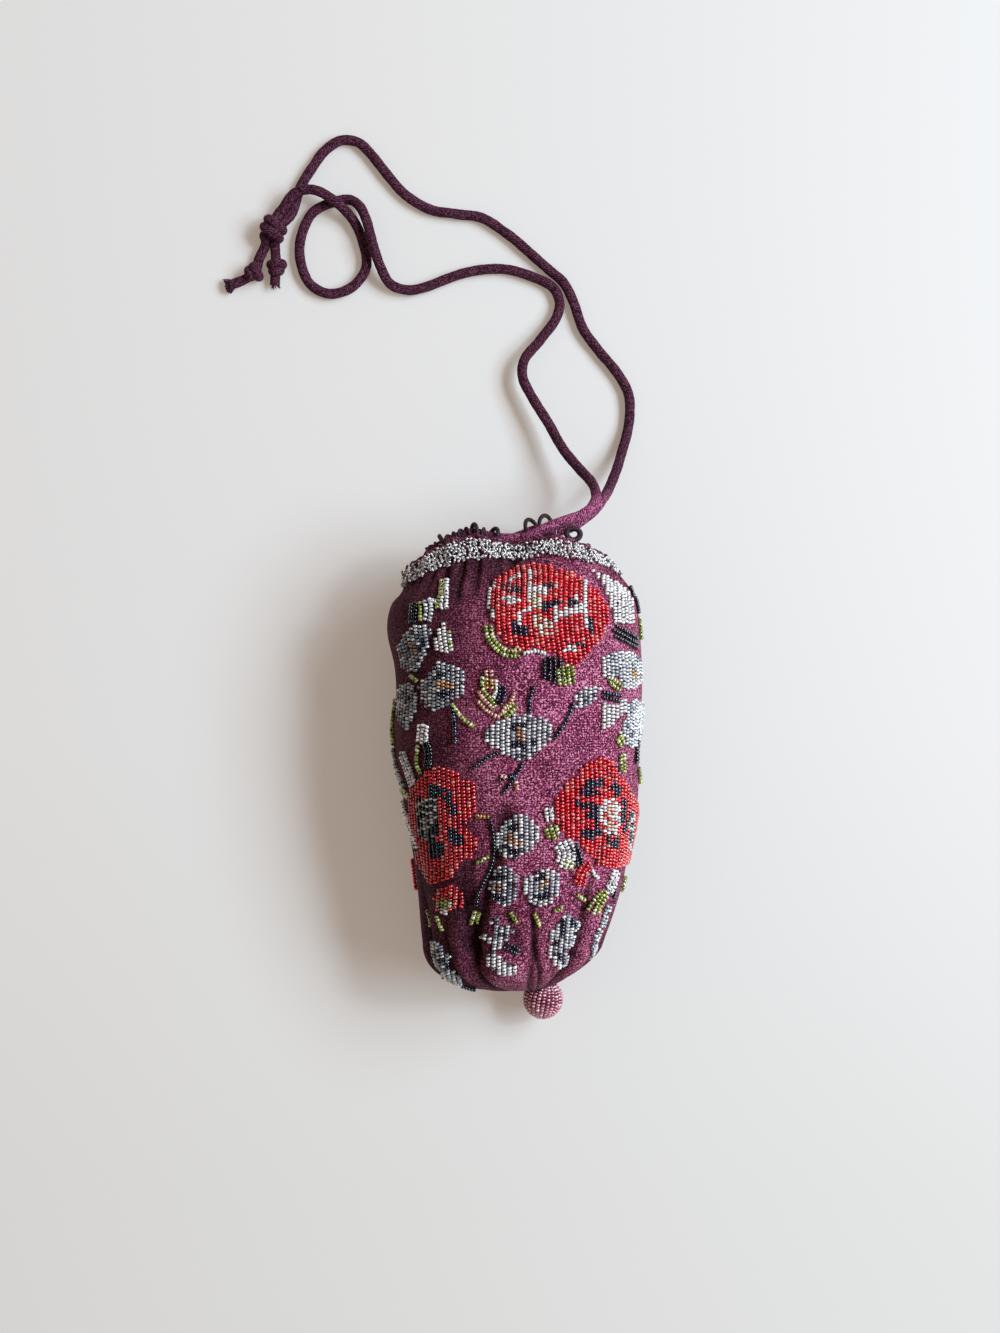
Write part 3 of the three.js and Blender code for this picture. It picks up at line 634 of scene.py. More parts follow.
petalChart = {  # name: glass, then its outline as across and along the cloth in mm
    "topFlower": ("red", [(-9.5, 185.5), (-8.5, 188.5), (-3, 194.5), (3, 198), (8, 198),
        (13.5, 197), (15, 194), (22, 193), (25, 191), (29, 187), (32, 185.5), (34.5, 182.5), (36.5, 178),
        (37, 174), (35, 168.5), (31.5, 164.5), (28, 162.5), (23.5, 157), (19.5, 156), (15, 157),
        (10, 161.5), (0.5, 162), (-3, 163), (-5, 166), (-9, 175), (-10, 180)]),
    "rightLeaf": ("white", [(30, 196), (43, 192), (46.5, 189), (49.5, 183.5), (51, 177.5),
        (50.5, 172), (43.5, 171.5), (38.5, 172.5), (38, 178), (36, 184)]),
    "leftGreyTop": ("grey", [(-40.5, 170.5), (-36.5, 172), (-32, 170.5), (-32.5, 165), (-39.5, 155),
        (-44.5, 153.5), (-49.5, 155), (-51, 159.5), (-50, 163.5)]),
    "bud": ("white", [(-27.5, 172.5), (-25.5, 170.5), (-23, 166.5), (-23.5, 162.5), (-26, 161),
        (-29.5, 161), (-31.5, 163.5), (-31, 166)]),
    "leftGreyMid": ("grey", [(-31, 158), (-25, 157), (-21.5, 155.5), (-19, 152), (-19, 146.5),
        (-27, 140.5), (-31.5, 139.5), (-36.5, 141), (-39.5, 144), (-40, 148.5), (-37.5, 151.5),
        (-34, 153.5)]),
    "leftEdgeGrey": ("grey", [(-52, 149), (-44.5, 149.5), (-41, 146), (-41, 141), (-43, 136.5),
        (-45.5, 132.5), (-50.5, 133.5), (-54.5, 139), (-55.5, 144.5)]),
    "centreGrey": ("silver", [(-6.5, 136.5), (-2.5, 138.5), (4, 138.5), (9.5, 137), (12.5, 133.5),
        (12, 130), (7, 124), (2.5, 121.5), (-1.5, 121.5), (-10.5, 126), (-12, 129), (-12, 133)]),
    "smallLeaf": ("silver", [(21.5, 147), (26.5, 148.5), (30.5, 148), (29.5, 144.5), (26, 141),
        (21, 140.5), (20, 142.5)]),
    "rightGreyTop": ("pale", [(31.5, 159), (35.5, 160.5), (44, 161.5), (52, 160.5), (57, 157),
        (57, 151.5), (50, 148), (42.5, 147), (32.5, 151), (30.5, 154.5)]),
    "rightWhiteLeaf": ("white", [(32.5, 143.5), (38, 144.5), (42, 143.5), (42, 139), (38, 136),
        (35, 132.5), (31.5, 133.5), (31.5, 139)]),
    "rightGreyLow": ("pale", [(43, 142.5), (50, 143.5), (63.5, 141.5), (64, 133), (60, 128),
        (48, 125), (41, 127), (39.5, 132), (42, 136.5)]),
    "rightFlower": ("red", [(28, 122), (30.5, 123), (32.5, 123), (36, 121), (38.5, 118.5),
        (40.5, 115), (44.5, 113), (48, 109.5), (60, 100.5), (60, 95), (58, 84.5), (56, 80), (34.5, 80.5),
        (31.5, 81.5), (25.5, 87), (13, 96.5), (13, 107.5), (17, 113.5), (26, 121)]),
    "leftFlower": ("red", [(-37.5, 116), (-33.5, 119), (-30, 119.5), (-27, 119), (-22, 116.5),
        (-21, 114), (-18.5, 114), (-16, 113), (-15.5, 109), (-16, 104.5), (-17.5, 101.5), (-21.5, 97.5),
        (-20, 95.5), (-18, 94.5), (-16.5, 92.5), (-16.5, 89.5), (-18, 86), (-24, 83), (-26.5, 77),
        (-35.5, 74.5), (-39, 75.5), (-45.5, 81), (-47, 84.5), (-44, 89), (-45, 92.5), (-48, 95),
        (-50, 99), (-47.5, 107), (-44, 112)]),
    "strawberry": ("red", [(-34.5, 69.5), (-32, 73), (-28, 74.5), (-24.5, 74.5), (-21, 69),
        (-22, 66), (-25.5, 65.5), (-27.5, 63.5), (-31, 63), (-33.5, 65)]),
    "lowGreyTop": ("silver", [(-5, 100), (-0.5, 102), (3, 101), (6, 98), (6.5, 93), (5, 89.5),
        (1.5, 87), (-2.5, 85.5), (-7, 86), (-10, 90), (-10.5, 94.5)]),
    "lowGreyLeft": ("grey", [(-8, 82.5), (-3, 82), (-0.5, 78.5), (-0.5, 73.5), (-2.5, 69), (-6, 67),
        (-10, 69.5), (-12, 74), (-11, 79.5)]),
    "lowGreyRight": ("pale", [(4.5, 80.5), (9, 82.5), (13, 81), (15, 77), (14, 72.5), (11.5, 69),
        (8, 67.5), (3, 69.5), (1, 73.5), (1.5, 78)]),
    "lowSprayLeft": ("silver", [(-10.5, 62), (-7.5, 63.5), (-6.5, 60), (-4, 61), (-1.5, 58.5),
        (-2.5, 54), (-6, 50.5), (-5.5, 47.5), (1, 44), (2, 41.5), (-1, 39.5), (-5.5, 40.5), (-11, 46),
        (-8, 52.5), (-14, 54.5), (-12, 56.5), (-8.5, 55), (-8.5, 58)]),
    "lowSprayRight": ("silver", [(12.5, 58.5), (15, 59.5), (16, 63), (19.5, 64), (24, 61.5),
        (26, 58.5), (22.5, 56), (25, 52.5), (23.5, 50), (18.5, 50.5), (22, 46.5), (22, 43), (16.5, 43),
        (13.5, 46.5), (12, 49.5), (13.5, 52.5), (12.5, 55.5)]),
    "lowEdgeUpper": ("grey", [(-35, 52), (-31, 52), (-29, 48), (-26.5, 46.5), (-27.5, 42),
        (-29.5, 40), (-39, 41.5), (-41.5, 48)]),
    "lowEdgeLower": ("silver", [(-29.5, 40.5), (-27, 41), (-24, 38.5), (-23.5, 33.5), (-25, 29),
        (-28, 31.5), (-37, 30.5), (-38.5, 34)]),
}
touchChart = {  # petal: other glass inside it, how wide in mm, and its middle line
    "leftGreyTop": [
        ("amber", 2.5, [(-41, 164.5), (-40, 161.5)]), ("navy", 1.5, [(-38, 162.5), (-36, 165)])],
    "bud": [
        ("lime", 1.5, [(-24, 168.5), (-24.5, 163)])],
    "leftGreyMid": [
        ("navy", 2, [(-32, 152), (-28, 153)]), ("amber", 3.5, [(-30.5, 149.5), (-26, 149)]),
        ("navy", 2, [(-31, 146), (-26.5, 146)])],
    "centreGrey": [
        ("navy", 2.5, [(-2, 133.5), (1, 135)]), ("navy", 2.5, [(-2, 128), (2, 126.5)]),
        ("navy", 1.5, [(4, 131.5), (6, 128.5)]), ("amber", 3, [(0, 132), (2, 129.5)])],
    "rightGreyTop": [
        ("gold", 2.5, [(47, 154), (49.5, 152)])],
    "lowGreyTop": [
        ("navy", 2, [(-4.5, 96.5), (-1, 97)]), ("amber", 3.5, [(-4, 92.5), (-1.5, 92)]),
        ("navy", 2.5, [(-5.5, 89), (-1.5, 88)])],
    "lowGreyLeft": [
        ("navy", 2, [(-9, 78), (-6.5, 78.5)]), ("amber", 2.5, [(-8.5, 74), (-6, 74.5)]),
        ("navy", 2, [(-9, 71), (-5.5, 70.5)])],
    "lowGreyRight": [
        ("navy", 2.5, [(5, 79.5), (7.5, 78.5)]), ("amber", 2.5, [(7, 75), (9.5, 76.5)]),
        ("navy", 2.5, [(6.5, 71.5), (9.5, 72)])],
    "topFlower": [
        ("white", 2.5, [(-8, 188), (-9.5, 184), (-9.5, 177.5), (-7.5, 174.5)]),
        ("white", 2, [(-2.5, 189.5), (2.5, 193)]), ("navy", 4, [(-2.5, 185.5), (1, 185.5)]),
        ("white", 3.5, [(-2.5, 180.5), (0.5, 180.5)]), ("white", 2.5, [(5.5, 194.5), (5.5, 182.5)]),
        ("white", 4, [(5.5, 185.5), (11.5, 184.5)]), ("pale", 3, [(11.5, 186.5), (14, 186.5)]),
        ("navy", 1.5, [(11.5, 188), (14, 185)]), ("cream", 4, [(7, 181.5), (9.5, 177.5)]),
        ("navy", 3.5, [(11.5, 178), (15.5, 179.5)]), ("white", 3, [(15, 176.5), (20, 176)]),
        ("white", 2.5, [(23, 181.5), (24, 176)]), ("navy", 3, [(21, 179.5), (22, 179)]),
        ("white", 2.5, [(26, 189.5), (26, 182.5), (26.5, 175.5)]),
        ("white", 2.5, [(2, 174.5), (6, 177)]), ("cream", 5.5, [(8.5, 172), (11.5, 169.5)]),
        ("white", 2.5, [(13, 172.5), (16, 174)]), ("white", 2, [(1.5, 174), (2, 170.5)]),
        ("navy", 3.5, [(2.5, 169), (4, 167)]), ("navy", 1.5, [(0.5, 171.5), (0.5, 168.5)]),
        ("white", 3, [(27, 172.5), (26.5, 170)]), ("navy", 2.5, [(29, 172.5), (28, 169.5)]),
        ("white", 2.5, [(19.5, 162.5), (22, 161.5)]), ("navy", 2, [(22.5, 164.5), (24, 163.5)]),
        ("white", 1.5, [(16.5, 162.5), (17.5, 161)])],
    "leftFlower": [
        ("speck", 7, [(-39, 104.5), (-39.5, 94.5)]), ("speck", 5.5, [(-34, 105.5), (-34, 95.5)]),
        ("navy", 5.5, [(-33, 110), (-29, 109)]), ("navy", 2.5, [(-28.5, 108), (-26.5, 106)]),
        ("navy", 4, [(-26, 104.5), (-25, 102.5)]), ("navy", 4.5, [(-35.5, 91.5), (-35, 86.5)]),
        ("navy", 3.5, [(-32, 90.5), (-32, 86.5)]), ("navy", 4.5, [(-26, 95), (-24, 92.5)])],
    "strawberry": [
        ("lime", 4, [(-32, 67.5), (-28, 67)]), ("white", 2.5, [(-31, 64), (-28, 64.5)])],
    "rightFlower": [
        ("navy", 3.5, [(24, 109.5), (25, 113)]), ("navy", 3.5, [(25, 112.5), (30, 113)]),
        ("navy", 2.5, [(27, 110), (28, 109.5)]), ("navy", 4, [(37, 111.5), (39.5, 109)]),
        ("navy", 2.5, [(21.5, 105.5), (23, 104.5)]), ("navy", 4, [(25, 105), (26, 101.5)]),
        ("navy", 3, [(28, 103.5), (29, 94.5)]), ("navy", 3.5, [(23.5, 94.5), (26, 94)]),
        ("white", 10.5, [(35, 102), (35.5, 98)]), ("peach", 4, [(34.5, 102.5), (35, 97)]),
        ("navy", 4, [(42.5, 104.5), (44, 95.5)]), ("speck", 6, [(49, 98.5), (53, 88)]),
        ("navy", 5, [(36, 92), (38.5, 90)])],
    "lowSprayLeft": [
        ("grey", 4, [(-9, 63), (-6, 55.5)]), ("white", 2.5, [(-8.5, 45.5), (-3.5, 43), (1, 42.5)])],
    "lowSprayRight": [
        ("navy", 2.5, [(16, 62.5), (17.5, 56.5)]), ("navy", 2, [(20.5, 62), (23, 58.5)]),
        ("navy", 2.5, [(13.5, 52.5), (17, 54.5)]), ("navy", 2, [(15.5, 48.5), (19, 45.5)]),
        ("white", 2.5, [(13, 48.5), (16.5, 44)])],
    "lowEdgeUpper": [
        ("navy", 1.5, [(-30, 45.5), (-28.5, 42)])],
}
stringChart = [  # glass, how many strings side by side, and their middle line
    ("lime", 2, [(-9.5, 171), (-9, 166.5), (-7, 163), (-3.5, 160.5), (1, 161)]),
    ("white", 1, [(2, 160.5), (6, 161.5), (10, 160.5)]),
    ("jet", 1, [(53, 192.5), (55.5, 185), (55.5, 177)]), ("lime", 1, [(56.5, 175), (57.5, 166.5)]),
    ("lime", 1, [(-28.5, 191), (-28.5, 178)]), ("white", 2, [(-26, 191), (-26, 177)]),
    ("pale", 2, [(-32.5, 181.5), (-32, 177), (-33, 172.5)]), ("lime", 1, [(-35.5, 180.5), (-35.5, 173)]),
    ("white", 1, [(-32, 181.5), (-28.5, 180)]), ("jet", 2, [(-38, 180.5), (-39, 172)]),
    ("lime", 1, [(-45, 152.5), (-40.5, 150)]), ("lime", 2, [(-66, 143), (-64.5, 135), (-61, 126.5)]),
    ("navy", 1, [(-25, 141.5), (-23.5, 135.5), (-23, 128)]),
    ("lime", 1, [(-25, 142.5), (-21, 137.5), (-16.5, 134)]), ("peach", 2, [(-11, 154.5), (-11, 152)]),
    ("gold", 2, [(-11, 151.5), (-11, 147.5)]),
    ("lime", 1, [(-13.5, 151.5), (-13, 147), (-10, 143.5), (-8.5, 141)]),
    ("cream", 1, [(-8.5, 151), (-8.5, 147), (-9.5, 144.5)]),
    ("navy", 2, [(-6.5, 149), (-6.5, 145.5), (-8, 141.5)]),
    ("peach", 1, [(-15, 147), (-13, 144), (-9.5, 140.5)]),
    ("peach", 1, [(-15, 143), (-12, 140), (-9, 138), (-7, 137.5)]),
    ("peach", 1, [(-2, 146.5), (-3, 143.5), (-5.5, 140.5), (-7, 138)]),
    ("lime", 2, [(-1.5, 142), (-3.5, 140), (-5.5, 138)]),
    ("navy", 1, [(5, 148.5), (4, 145.5), (3.5, 141.5), (4, 138.5)]),
    ("navy", 1, [(-7.5, 124.5), (-11.5, 122.5), (-16.5, 119)]),
    ("navy", 1, [(1.5, 121), (-0.5, 117.5), (-3, 114), (-6.5, 109.5)]),
    ("navy", 1, [(-7.5, 114.5), (-2.5, 116)]), ("peach", 1, [(-7, 116), (-5, 115.5)]),
    ("peach", 1, [(-1.5, 114), (-1, 110.5)]),
    ("navy", 1, [(13, 129.5), (15.5, 133), (18, 137), (20, 142.5)]),
    ("lime", 2, [(34.5, 151), (40, 147.5)]), ("navy", 2, [(31.5, 145.5), (39.5, 144)]),
    ("lime", 2, [(39, 130), (41.5, 126.5)]), ("jet", 2, [(54.5, 128), (53.5, 119.5)]),
    ("lime", 2, [(41.5, 123.5), (42, 116.5)]), ("lime", 1, [(56.5, 117.5), (62, 111)]),
    ("red", 3, [(26, 83.5), (23.5, 80), (22, 75)]), ("white", 1, [(28, 80.5), (31, 77)]),
    ("lime", 1, [(54, 75.5), (53, 69.5)]), ("silver", 2, [(38, 66), (36.5, 61.5), (36, 57.5)]),
    ("pale", 2, [(35, 57), (33, 52.5)]), ("pale", 2, [(32.5, 51), (36.5, 45.5)]),
    ("grey", 2, [(-64, 124.5), (-62, 117.5), (-54, 110)]),
    ("pale", 3, [(-50.5, 123.5), (-47, 117.5), (-44, 111.5)]),
    ("white", 3, [(-37, 134.5), (-37.5, 127)]),
    ("lime", 1, [(-39.5, 126.5), (-40.5, 119.5), (-38.5, 116)]),
    ("lime", 1, [(-56.5, 109.5), (-49.5, 107.5)]), ("red", 1, [(-59.5, 81.5), (-58, 70)]),
    ("jet", 1, [(-11.5, 100), (-11, 91), (-11.5, 84), (-13, 79.5), (-15.5, 73.5), (-16.5, 67.5)]),
    ("gold", 1, [(-16.5, 101), (-12, 101)]), ("lime", 2, [(-16.5, 65), (-18, 60)]),
    ("lime", 1, [(-16.5, 83.5), (-13, 86)]), ("lime", 1, [(-3, 65.5), (0, 61)]),
    ("lime", 1, [(6, 65), (8.5, 60)]), ("lime", 1, [(13, 65.5), (16, 67)]),
    ("lime", 1, [(21.5, 71.5), (25.5, 69)]), ("lime", 1, [(-41.5, 63), (-43, 56.5)]),
    ("lime", 1, [(-32.5, 62), (-30, 57)]), ("navy", 2, [(-4, 52.5), (2, 49)]),
    ("navy", 1, [(-25, 29), (-20.5, 23.5)]), ("jet", 4, [(12, 159.5), (11.5, 150)]),
    ("lime", 4, [(16.5, 156.5), (17.5, 149)]), ("jet", 3, [(38.5, 169.5), (45, 167), (52.5, 164.5)]),
    ("white", 2, [(10, 104.5), (10.5, 99)]), ("lime", 3, [(10.5, 98), (12, 93)]),
    ("white", 4, [(14.5, 92), (16.5, 87), (15, 82)]), ("lime", 2, [(15.5, 84.5), (19.5, 82)]),
    ("jet", 2, [(19, 90.5), (21, 86), (22, 82.5)]), ("white", 3, [(41, 79.5), (39, 75), (36, 71)]),
    ("jet", 1, [(41, 73), (40.5, 69)]), ("lime", 3, [(35, 71.5), (32, 68), (30.5, 63.5)]),
    ("jet", 2, [(-35.5, 128), (-34.5, 123.5), (-35.5, 118.5)]),
    ("white", 2, [(-60, 104), (-53.5, 98), (-48.5, 93.5), (-45, 87.5)]),
    ("lime", 1, [(-59, 109), (-49.5, 106.5)]),
]


def tipped(at, tip):  # the ring leans over on the cord that it holds
    aim = unit(ringCentre((at + 1) * degree) - ringCentre((at - 1) * degree))
    return aim * math.cos(tip * degree) + [0, 0, math.sin(tip * degree)]


ringPlans = [(tipped(at, ringForm["tip"]), ringForm["radius"]) for at in (96, 108, 132, 228, 252, 264)]
ringPlans += [(tipped(at, ringForm["slackTip"]), ringForm["slack"]) for at in (286, 294)]
ringPlans += [(np.array([0.15, 0.35, 0.92]), ringForm["empty"])]
ringNodes = [f"thread_ring_{k + 1:02d}" for k in range(len(ringPlans))]
whipping = {"turns": (102, 113, 117, 122, 127, 138, 143, 148), "slant": 24, "radius": 2.35, "wire": 0.5}


def layRing(bm, middle, aim, radius, wire, phase):  # a thread-covered ring, never quite round
    aim = unit(aim)
    side = unit(np.cross(aim, [0.1, 0.0, 1.0]))
    over = np.cross(side, aim)
    swing = np.linspace(0, fullTurn, ringForm["steps"] + 1)
    wobble = radius * (1 + 0.05 * np.sin(2 * swing + phase) + 0.03 * np.sin(3 * swing + 2 * phase))
    run = middle + (wobble * np.cos(swing))[:, None] * side + (wobble * np.sin(swing))[:, None] * over
    layTube(bm, run, wire, ringForm["sides"], closed=True, profile=lambda turn, row: 1
        + ringForm["ridge"] * np.sin(row / ringForm["steps"] * fullTurn * ringForm["wraps"] + turn))


bm = startMesh()
for k, (aim, radius) in enumerate(ringPlans):
    low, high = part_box(ringNodes[k])
    wire = ringForm["wire"] * ringForm["stout" if radius == ringForm["empty"] else "covered"]
    layRing(bm, (np.array(low) + np.array(high)) / 2 / mm, aim, radius, wire, k)
for k, at in enumerate(whipping["turns"]):  # stitches over the drawn cord, leaning both ways
    slant = whipping["slant"] * (1 if k % 2 else -1)
    layRing(bm, ringCentre(at * degree), tipped(at, slant), whipping["radius"], whipping["wire"], k)
weld(bm, ends=False)
keepPiece("thread_rings", bm, [waxedThread], "dark_thread", *ringNodes)

drawnTurns = [300, 288, 276, 264, 252, 240, 228, 210, 150, 132, 120, 108, 96, 84]
bm = startMesh()
layCord(bm, [ringCentre(at * degree) for at in drawnTurns], phase=0.4)
# painted shade on the cord inside the mouth, deeper to the left
keepCord("cord_drawn_in", bm, "drawstring", cordSize["shadeInMouth"])
print("rings and drawn cord laid")

glass = {  # what a bead of each name may be: colours with how often each comes up
    "red": [("#dc1626", 6), ("#ee3034", 4), ("#b00c1c", 2), ("#f4746a", 2)],
    "white": [("#f5efed", 6), ("#e6e0e1", 3), ("#fdfaf8", 3), ("#bab4b7", 1)],
    "pale": [("#d6d7da", 5), ("#eeedec", 4), ("#acb0b9", 3), ("#767d8b", 1)],
    "silver": [("#c8c9cc", 5), ("#e8e7e6", 4), ("#a2a6ae", 4), ("#525866", 1)],
    "grey": [("#9a9da5", 5), ("#bdbfc4", 4), ("#767c88", 4), ("#e0dfde", 3), ("#383d48", 1)],
    "navy": [("#141b2b", 6), ("#222c40", 3), ("#3c4860", 1)],
    "jet": [("#0d0f14", 6), ("#171c22", 3), ("#2a3440", 1)],
    "speck": [("#11151d", 5), ("#c9c9c4", 4), ("#7d8590", 1)],
    "lime": [("#98a048", 5), ("#b7bd68", 3), ("#7a8538", 3), ("#d9dcae", 2)],
    "gold": [("#b98a4a", 5), ("#cfa766", 3), ("#97702f", 2)],
    "amber": [("#b98760", 4), ("#d4ab88", 3), ("#8d6346", 2)],
    "peach": [("#d6a08a", 4), ("#e2b9a4", 3), ("#c07f66", 2)],
    "cream": [("#e0d3c0", 5), ("#efe6d8", 3), ("#d3b58f", 3)],
    "clear": [("#dfd9d8", 6), ("#f7f3f1", 4), ("#b6b0b1", 4), ("#6c5f64", 2), ("#3a2a30", 1)],
    "pink": [("#c87a8c", 6), ("#db96a4", 4), ("#a85e72", 3), ("#efc0c8", 1)],
}
beadSize = {"across": 1.9, "along": 1.28, "radius": 0.86, "half": 0.6, "hole": 0.4, "sides": 8,  # mm
    "seat": 0.62, "flat": 0.55, "inHole": 0.3, "outside": 1.1, "askew": 0.10, "sizes": (0.93, 1.06),
    "shades": (0.82, 1.16)}

bm = bmesh.new()  # one bead: a short ring section spun round its hole
wide, half, flat = beadSize["radius"], beadSize["half"], beadSize["flat"] * beadSize["half"]
profile = [(beadSize["hole"], -half), (wide, -flat), (wide, flat), (beadSize["hole"], half)]
corners = [bm.verts.new((r, y, 0)) for r, y in profile]
edges = [bm.edges.new((corners[k], corners[(k + 1) % 4])) for k in range(4)]
bmesh.ops.spin(bm, geom=corners + edges, axis=(0, 1, 0), cent=(0, 0, 0), angle=fullTurn,
    steps=beadSize["sides"], use_merge=True)
bmesh.ops.remove_doubles(bm, verts=bm.verts, dist=1e-5)
bmesh.ops.recalc_face_normals(bm, faces=bm.faces)
bm.verts.index_update()
beadVerts = np.array([vert.co for vert in bm.verts])
beadFaces = np.array([[vert.index for vert in face.verts] for face in bm.faces])
byHole = np.hypot(beadVerts[:, 0], beadVerts[:, 2]) < (beadSize["hole"] + wide) / 2
beadPaintedShade = np.where(byHole, beadSize["inHole"], beadSize["outside"])  # painted shade at the hole ends, between beads, and a little painted light on the rest
bm.free()


def tints(names):  # each bead's own colour, a little lighter or darker than its neighbours
    picks = np.empty((len(names), 4))
    for k, name in enumerate(names):
        codes, often = zip(*glass[name])
        picks[k] = paint(codes[dice.choice(len(codes), p=np.array(often) / sum(often))])
    picks[:, :3] *= dice.uniform(*beadSize["shades"], (len(names), 1))
    return np.clip(picks, 0, 1)


def strewBeads(name, spots, along, out, names, material, slot, *nodes, size=1.0, paintedShade=1.0):
    along = unit(along + dice.normal(0, beadSize["askew"], along.shape))
    out = unit(out - along * (out * along).sum(1)[:, None])
    axes = np.stack([np.cross(along, out), along, out], 1)
    shape = beadVerts[None] * (size * dice.uniform(*beadSize["sizes"], len(spots)))[:, None, None]
    verts = spots[:, None] + shape @ axes  # copies of the one bead, each tipped its own way
    faces = beadFaces[None] + (np.arange(len(spots)) * len(beadVerts))[:, None, None]
    mesh = bpy.data.meshes.new(name)
    mesh.from_pydata((verts.reshape(-1, 3) * mm).tolist(), [], faces.reshape(-1, 4).tolist())
    colour = mesh.color_attributes.new("tint_with_painted_shade", "FLOAT_COLOR", "POINT")
    colours = tints(names)
    # the cloth's painted shade, carried over to the petal beads
    colours[:, :3] *= np.reshape(paintedShade, (-1, 1))
    face = np.repeat(colours, len(beadVerts), axis=0).reshape(len(spots), -1, 4)
    # painted shade at each bead's hole ends
    face[..., :3] *= beadPaintedShade[None, :, None]
    colour.data.foreach_set("color", np.minimum(face, 1).ravel())
    print(name, len(spots), "beads,", 2 * len(mesh.polygons), "triangles")
    return keepMesh(name, mesh, [material], slot, *nodes)


# The cloth spread flat: across is measured round from the crown line, along from the base up that line.
mapRows = np.concatenate([capRow(np.linspace(0, 1, 90)[1:-1]),
    np.linspace(clothForm["capTop"], clothForm["rim"], 300)])
mapTurns = np.linspace(-90, 270, 721) * degree
crown = len(mapTurns) // 2
mapSpots = clothPoint(mapTurns[None], mapRows[:, None], fine=False)
mapAcross = np.array([lengths(row) for row in mapSpots])
mapAcross = mapAcross[:, crown:crown + 1] - mapAcross
mapAlong = lengths(mapSpots[:, crown])


def onCloth(across, along):  # chart places to turn and row on the bag
    y = np.interp(along, mapAlong, mapRows)
    k = np.clip(np.searchsorted(mapAlong, along) - 1, 0, len(mapAlong) - 2)
    share = np.clip((along - mapAlong[k]) / (mapAlong[k + 1] - mapAlong[k]), 0, 1)
    turn = np.empty(len(y))
    for n, (row, part) in enumerate(zip(k, share)):
        here = np.interp(-across[n], -mapAcross[row], mapTurns)
        turn[n] = here + (np.interp(-across[n], -mapAcross[row + 1], mapTurns) - here) * part
    return turn, y


seatForm = {"turn": 0.012, "row": 0.4, "heart": (2.0, 0.0, 30.0)}  # radians, mm; beads face away from it


def seat(turn, y, lift):  # where beads stand on the cloth, and which way is out
    around = clothPoint(turn + seatForm["turn"], y) - clothPoint(turn - seatForm["turn"], y)
    up = clothPoint(turn, y + seatForm["row"]) - clothPoint(turn, y - seatForm["row"])
    out = unit(np.cross(up, around))
    spots = clothPoint(turn, y)
    inwards = ((spots - seatForm["heart"]) * out).sum(1) < 0
    out[inwards] *= -1
    return spots + out * np.asarray(lift).reshape(-1, 1), out


def insideOutline(points, outline):
    x, y = points.T
    inside = np.zeros(len(points), bool)
    for (ax, ay), (bx, by) in zip(outline, outline[1:] + outline[:1]):
        crosses = (ay > y) != (by > y)
        inside ^= crosses & (x < (bx - ax) * (y - ay) / (by - ay + 1e-9) + ax)
    return inside


sewing = {"columns": 46, "kept": 0.87, "uneven": 0.06, "ahead": 0.5, "clear": 1.25,  # mm, shares
    "lowest": 2.4, "step": 0.25, "rounding": 0.35, "shortest": 8, "start": (0.1, 0.6),
    "past": 0.3, "lift": 0.1}
columns = []
for k in range(-sewing["columns"], sewing["columns"] + 1):  # the bead columns, each one string down the bag
    u = k * beadSize["across"]
    turn = np.array([np.interp(-u, -row, mapTurns) for row in mapAcross])
    length = lengths(clothPoint(turn, mapRows, fine=False))
    at = np.arange(dice.uniform(0, beadSize["along"]), length[-1], beadSize["along"])
    marks = [np.interp(at, length, each) for each in (mapAlong, turn, mapRows)]
    columns.append(np.stack([np.full(len(at), u)] + marks, 1))
lattice = np.vstack(columns)
chart, turns, rows = lattice[:, :2], lattice[:, 2], lattice[:, 3]
chosen = np.full(len(lattice), "", dtype="U8")
group = np.full(len(lattice), "", dtype="U8")
for colour, outline in petalChart.values():
    inside = insideOutline(chart, outline)
    chosen[inside] = colour
    group[inside] = "red" if colour == "red" else "grey"
for name, touches in touchChart.items():
    petal = insideOutline(chart, petalChart[name][1])
    for colour, width, line in touches:
        inside = petal & (awayFrom(chart, np.array(line)) <= width / 2)
        chosen[inside & (dice.random(len(lattice)) < sewing["kept"])] = colour  # with a few strays

stringSpots, stringNames = [], []
for colour, lanes, line in stringChart:
    run = smoothRoute([(u, v, 0.0) for u, v in line], sewing["step"])[0]
    ahead = unit(np.gradient(run, axis=0))
    for lane in range(lanes):
        apart = (lane - (lanes - 1) / 2) * beadSize["across"]
        shift = run + apart * np.stack([-ahead[:, 1], ahead[:, 0], 0 * ahead[:, 0]], 1)
        trim = round(abs(apart) * sewing["rounding"] / sewing["step"])  # outer strings are shorter
        shift = shift[trim:len(shift) - trim] if len(shift) > 2 * trim + sewing["shortest"] else shift
        turn, y = onCloth(shift[:, 0], shift[:, 1])
        track = clothPoint(turn, y, fine=False)
        reach = lengths(track)
        at = np.arange(dice.uniform(*sewing["start"]), reach[-1] + sewing["past"], beadSize["along"])
        lift = beadSize["seat"] + sewing["lift"]
        spots, out = seat(np.interp(at, reach, turn), np.interp(at, reach, y), lift)
        heading = np.gradient(track, axis=0)
        heading = np.stack([np.interp(at, reach, heading[:, k]) for k in range(3)], 1)
        stringSpots.append(np.hstack([spots, heading, out]))
        stringNames += [colour] * len(at)
stringSpots = np.vstack(stringSpots)
stringNames = np.array(stringNames)

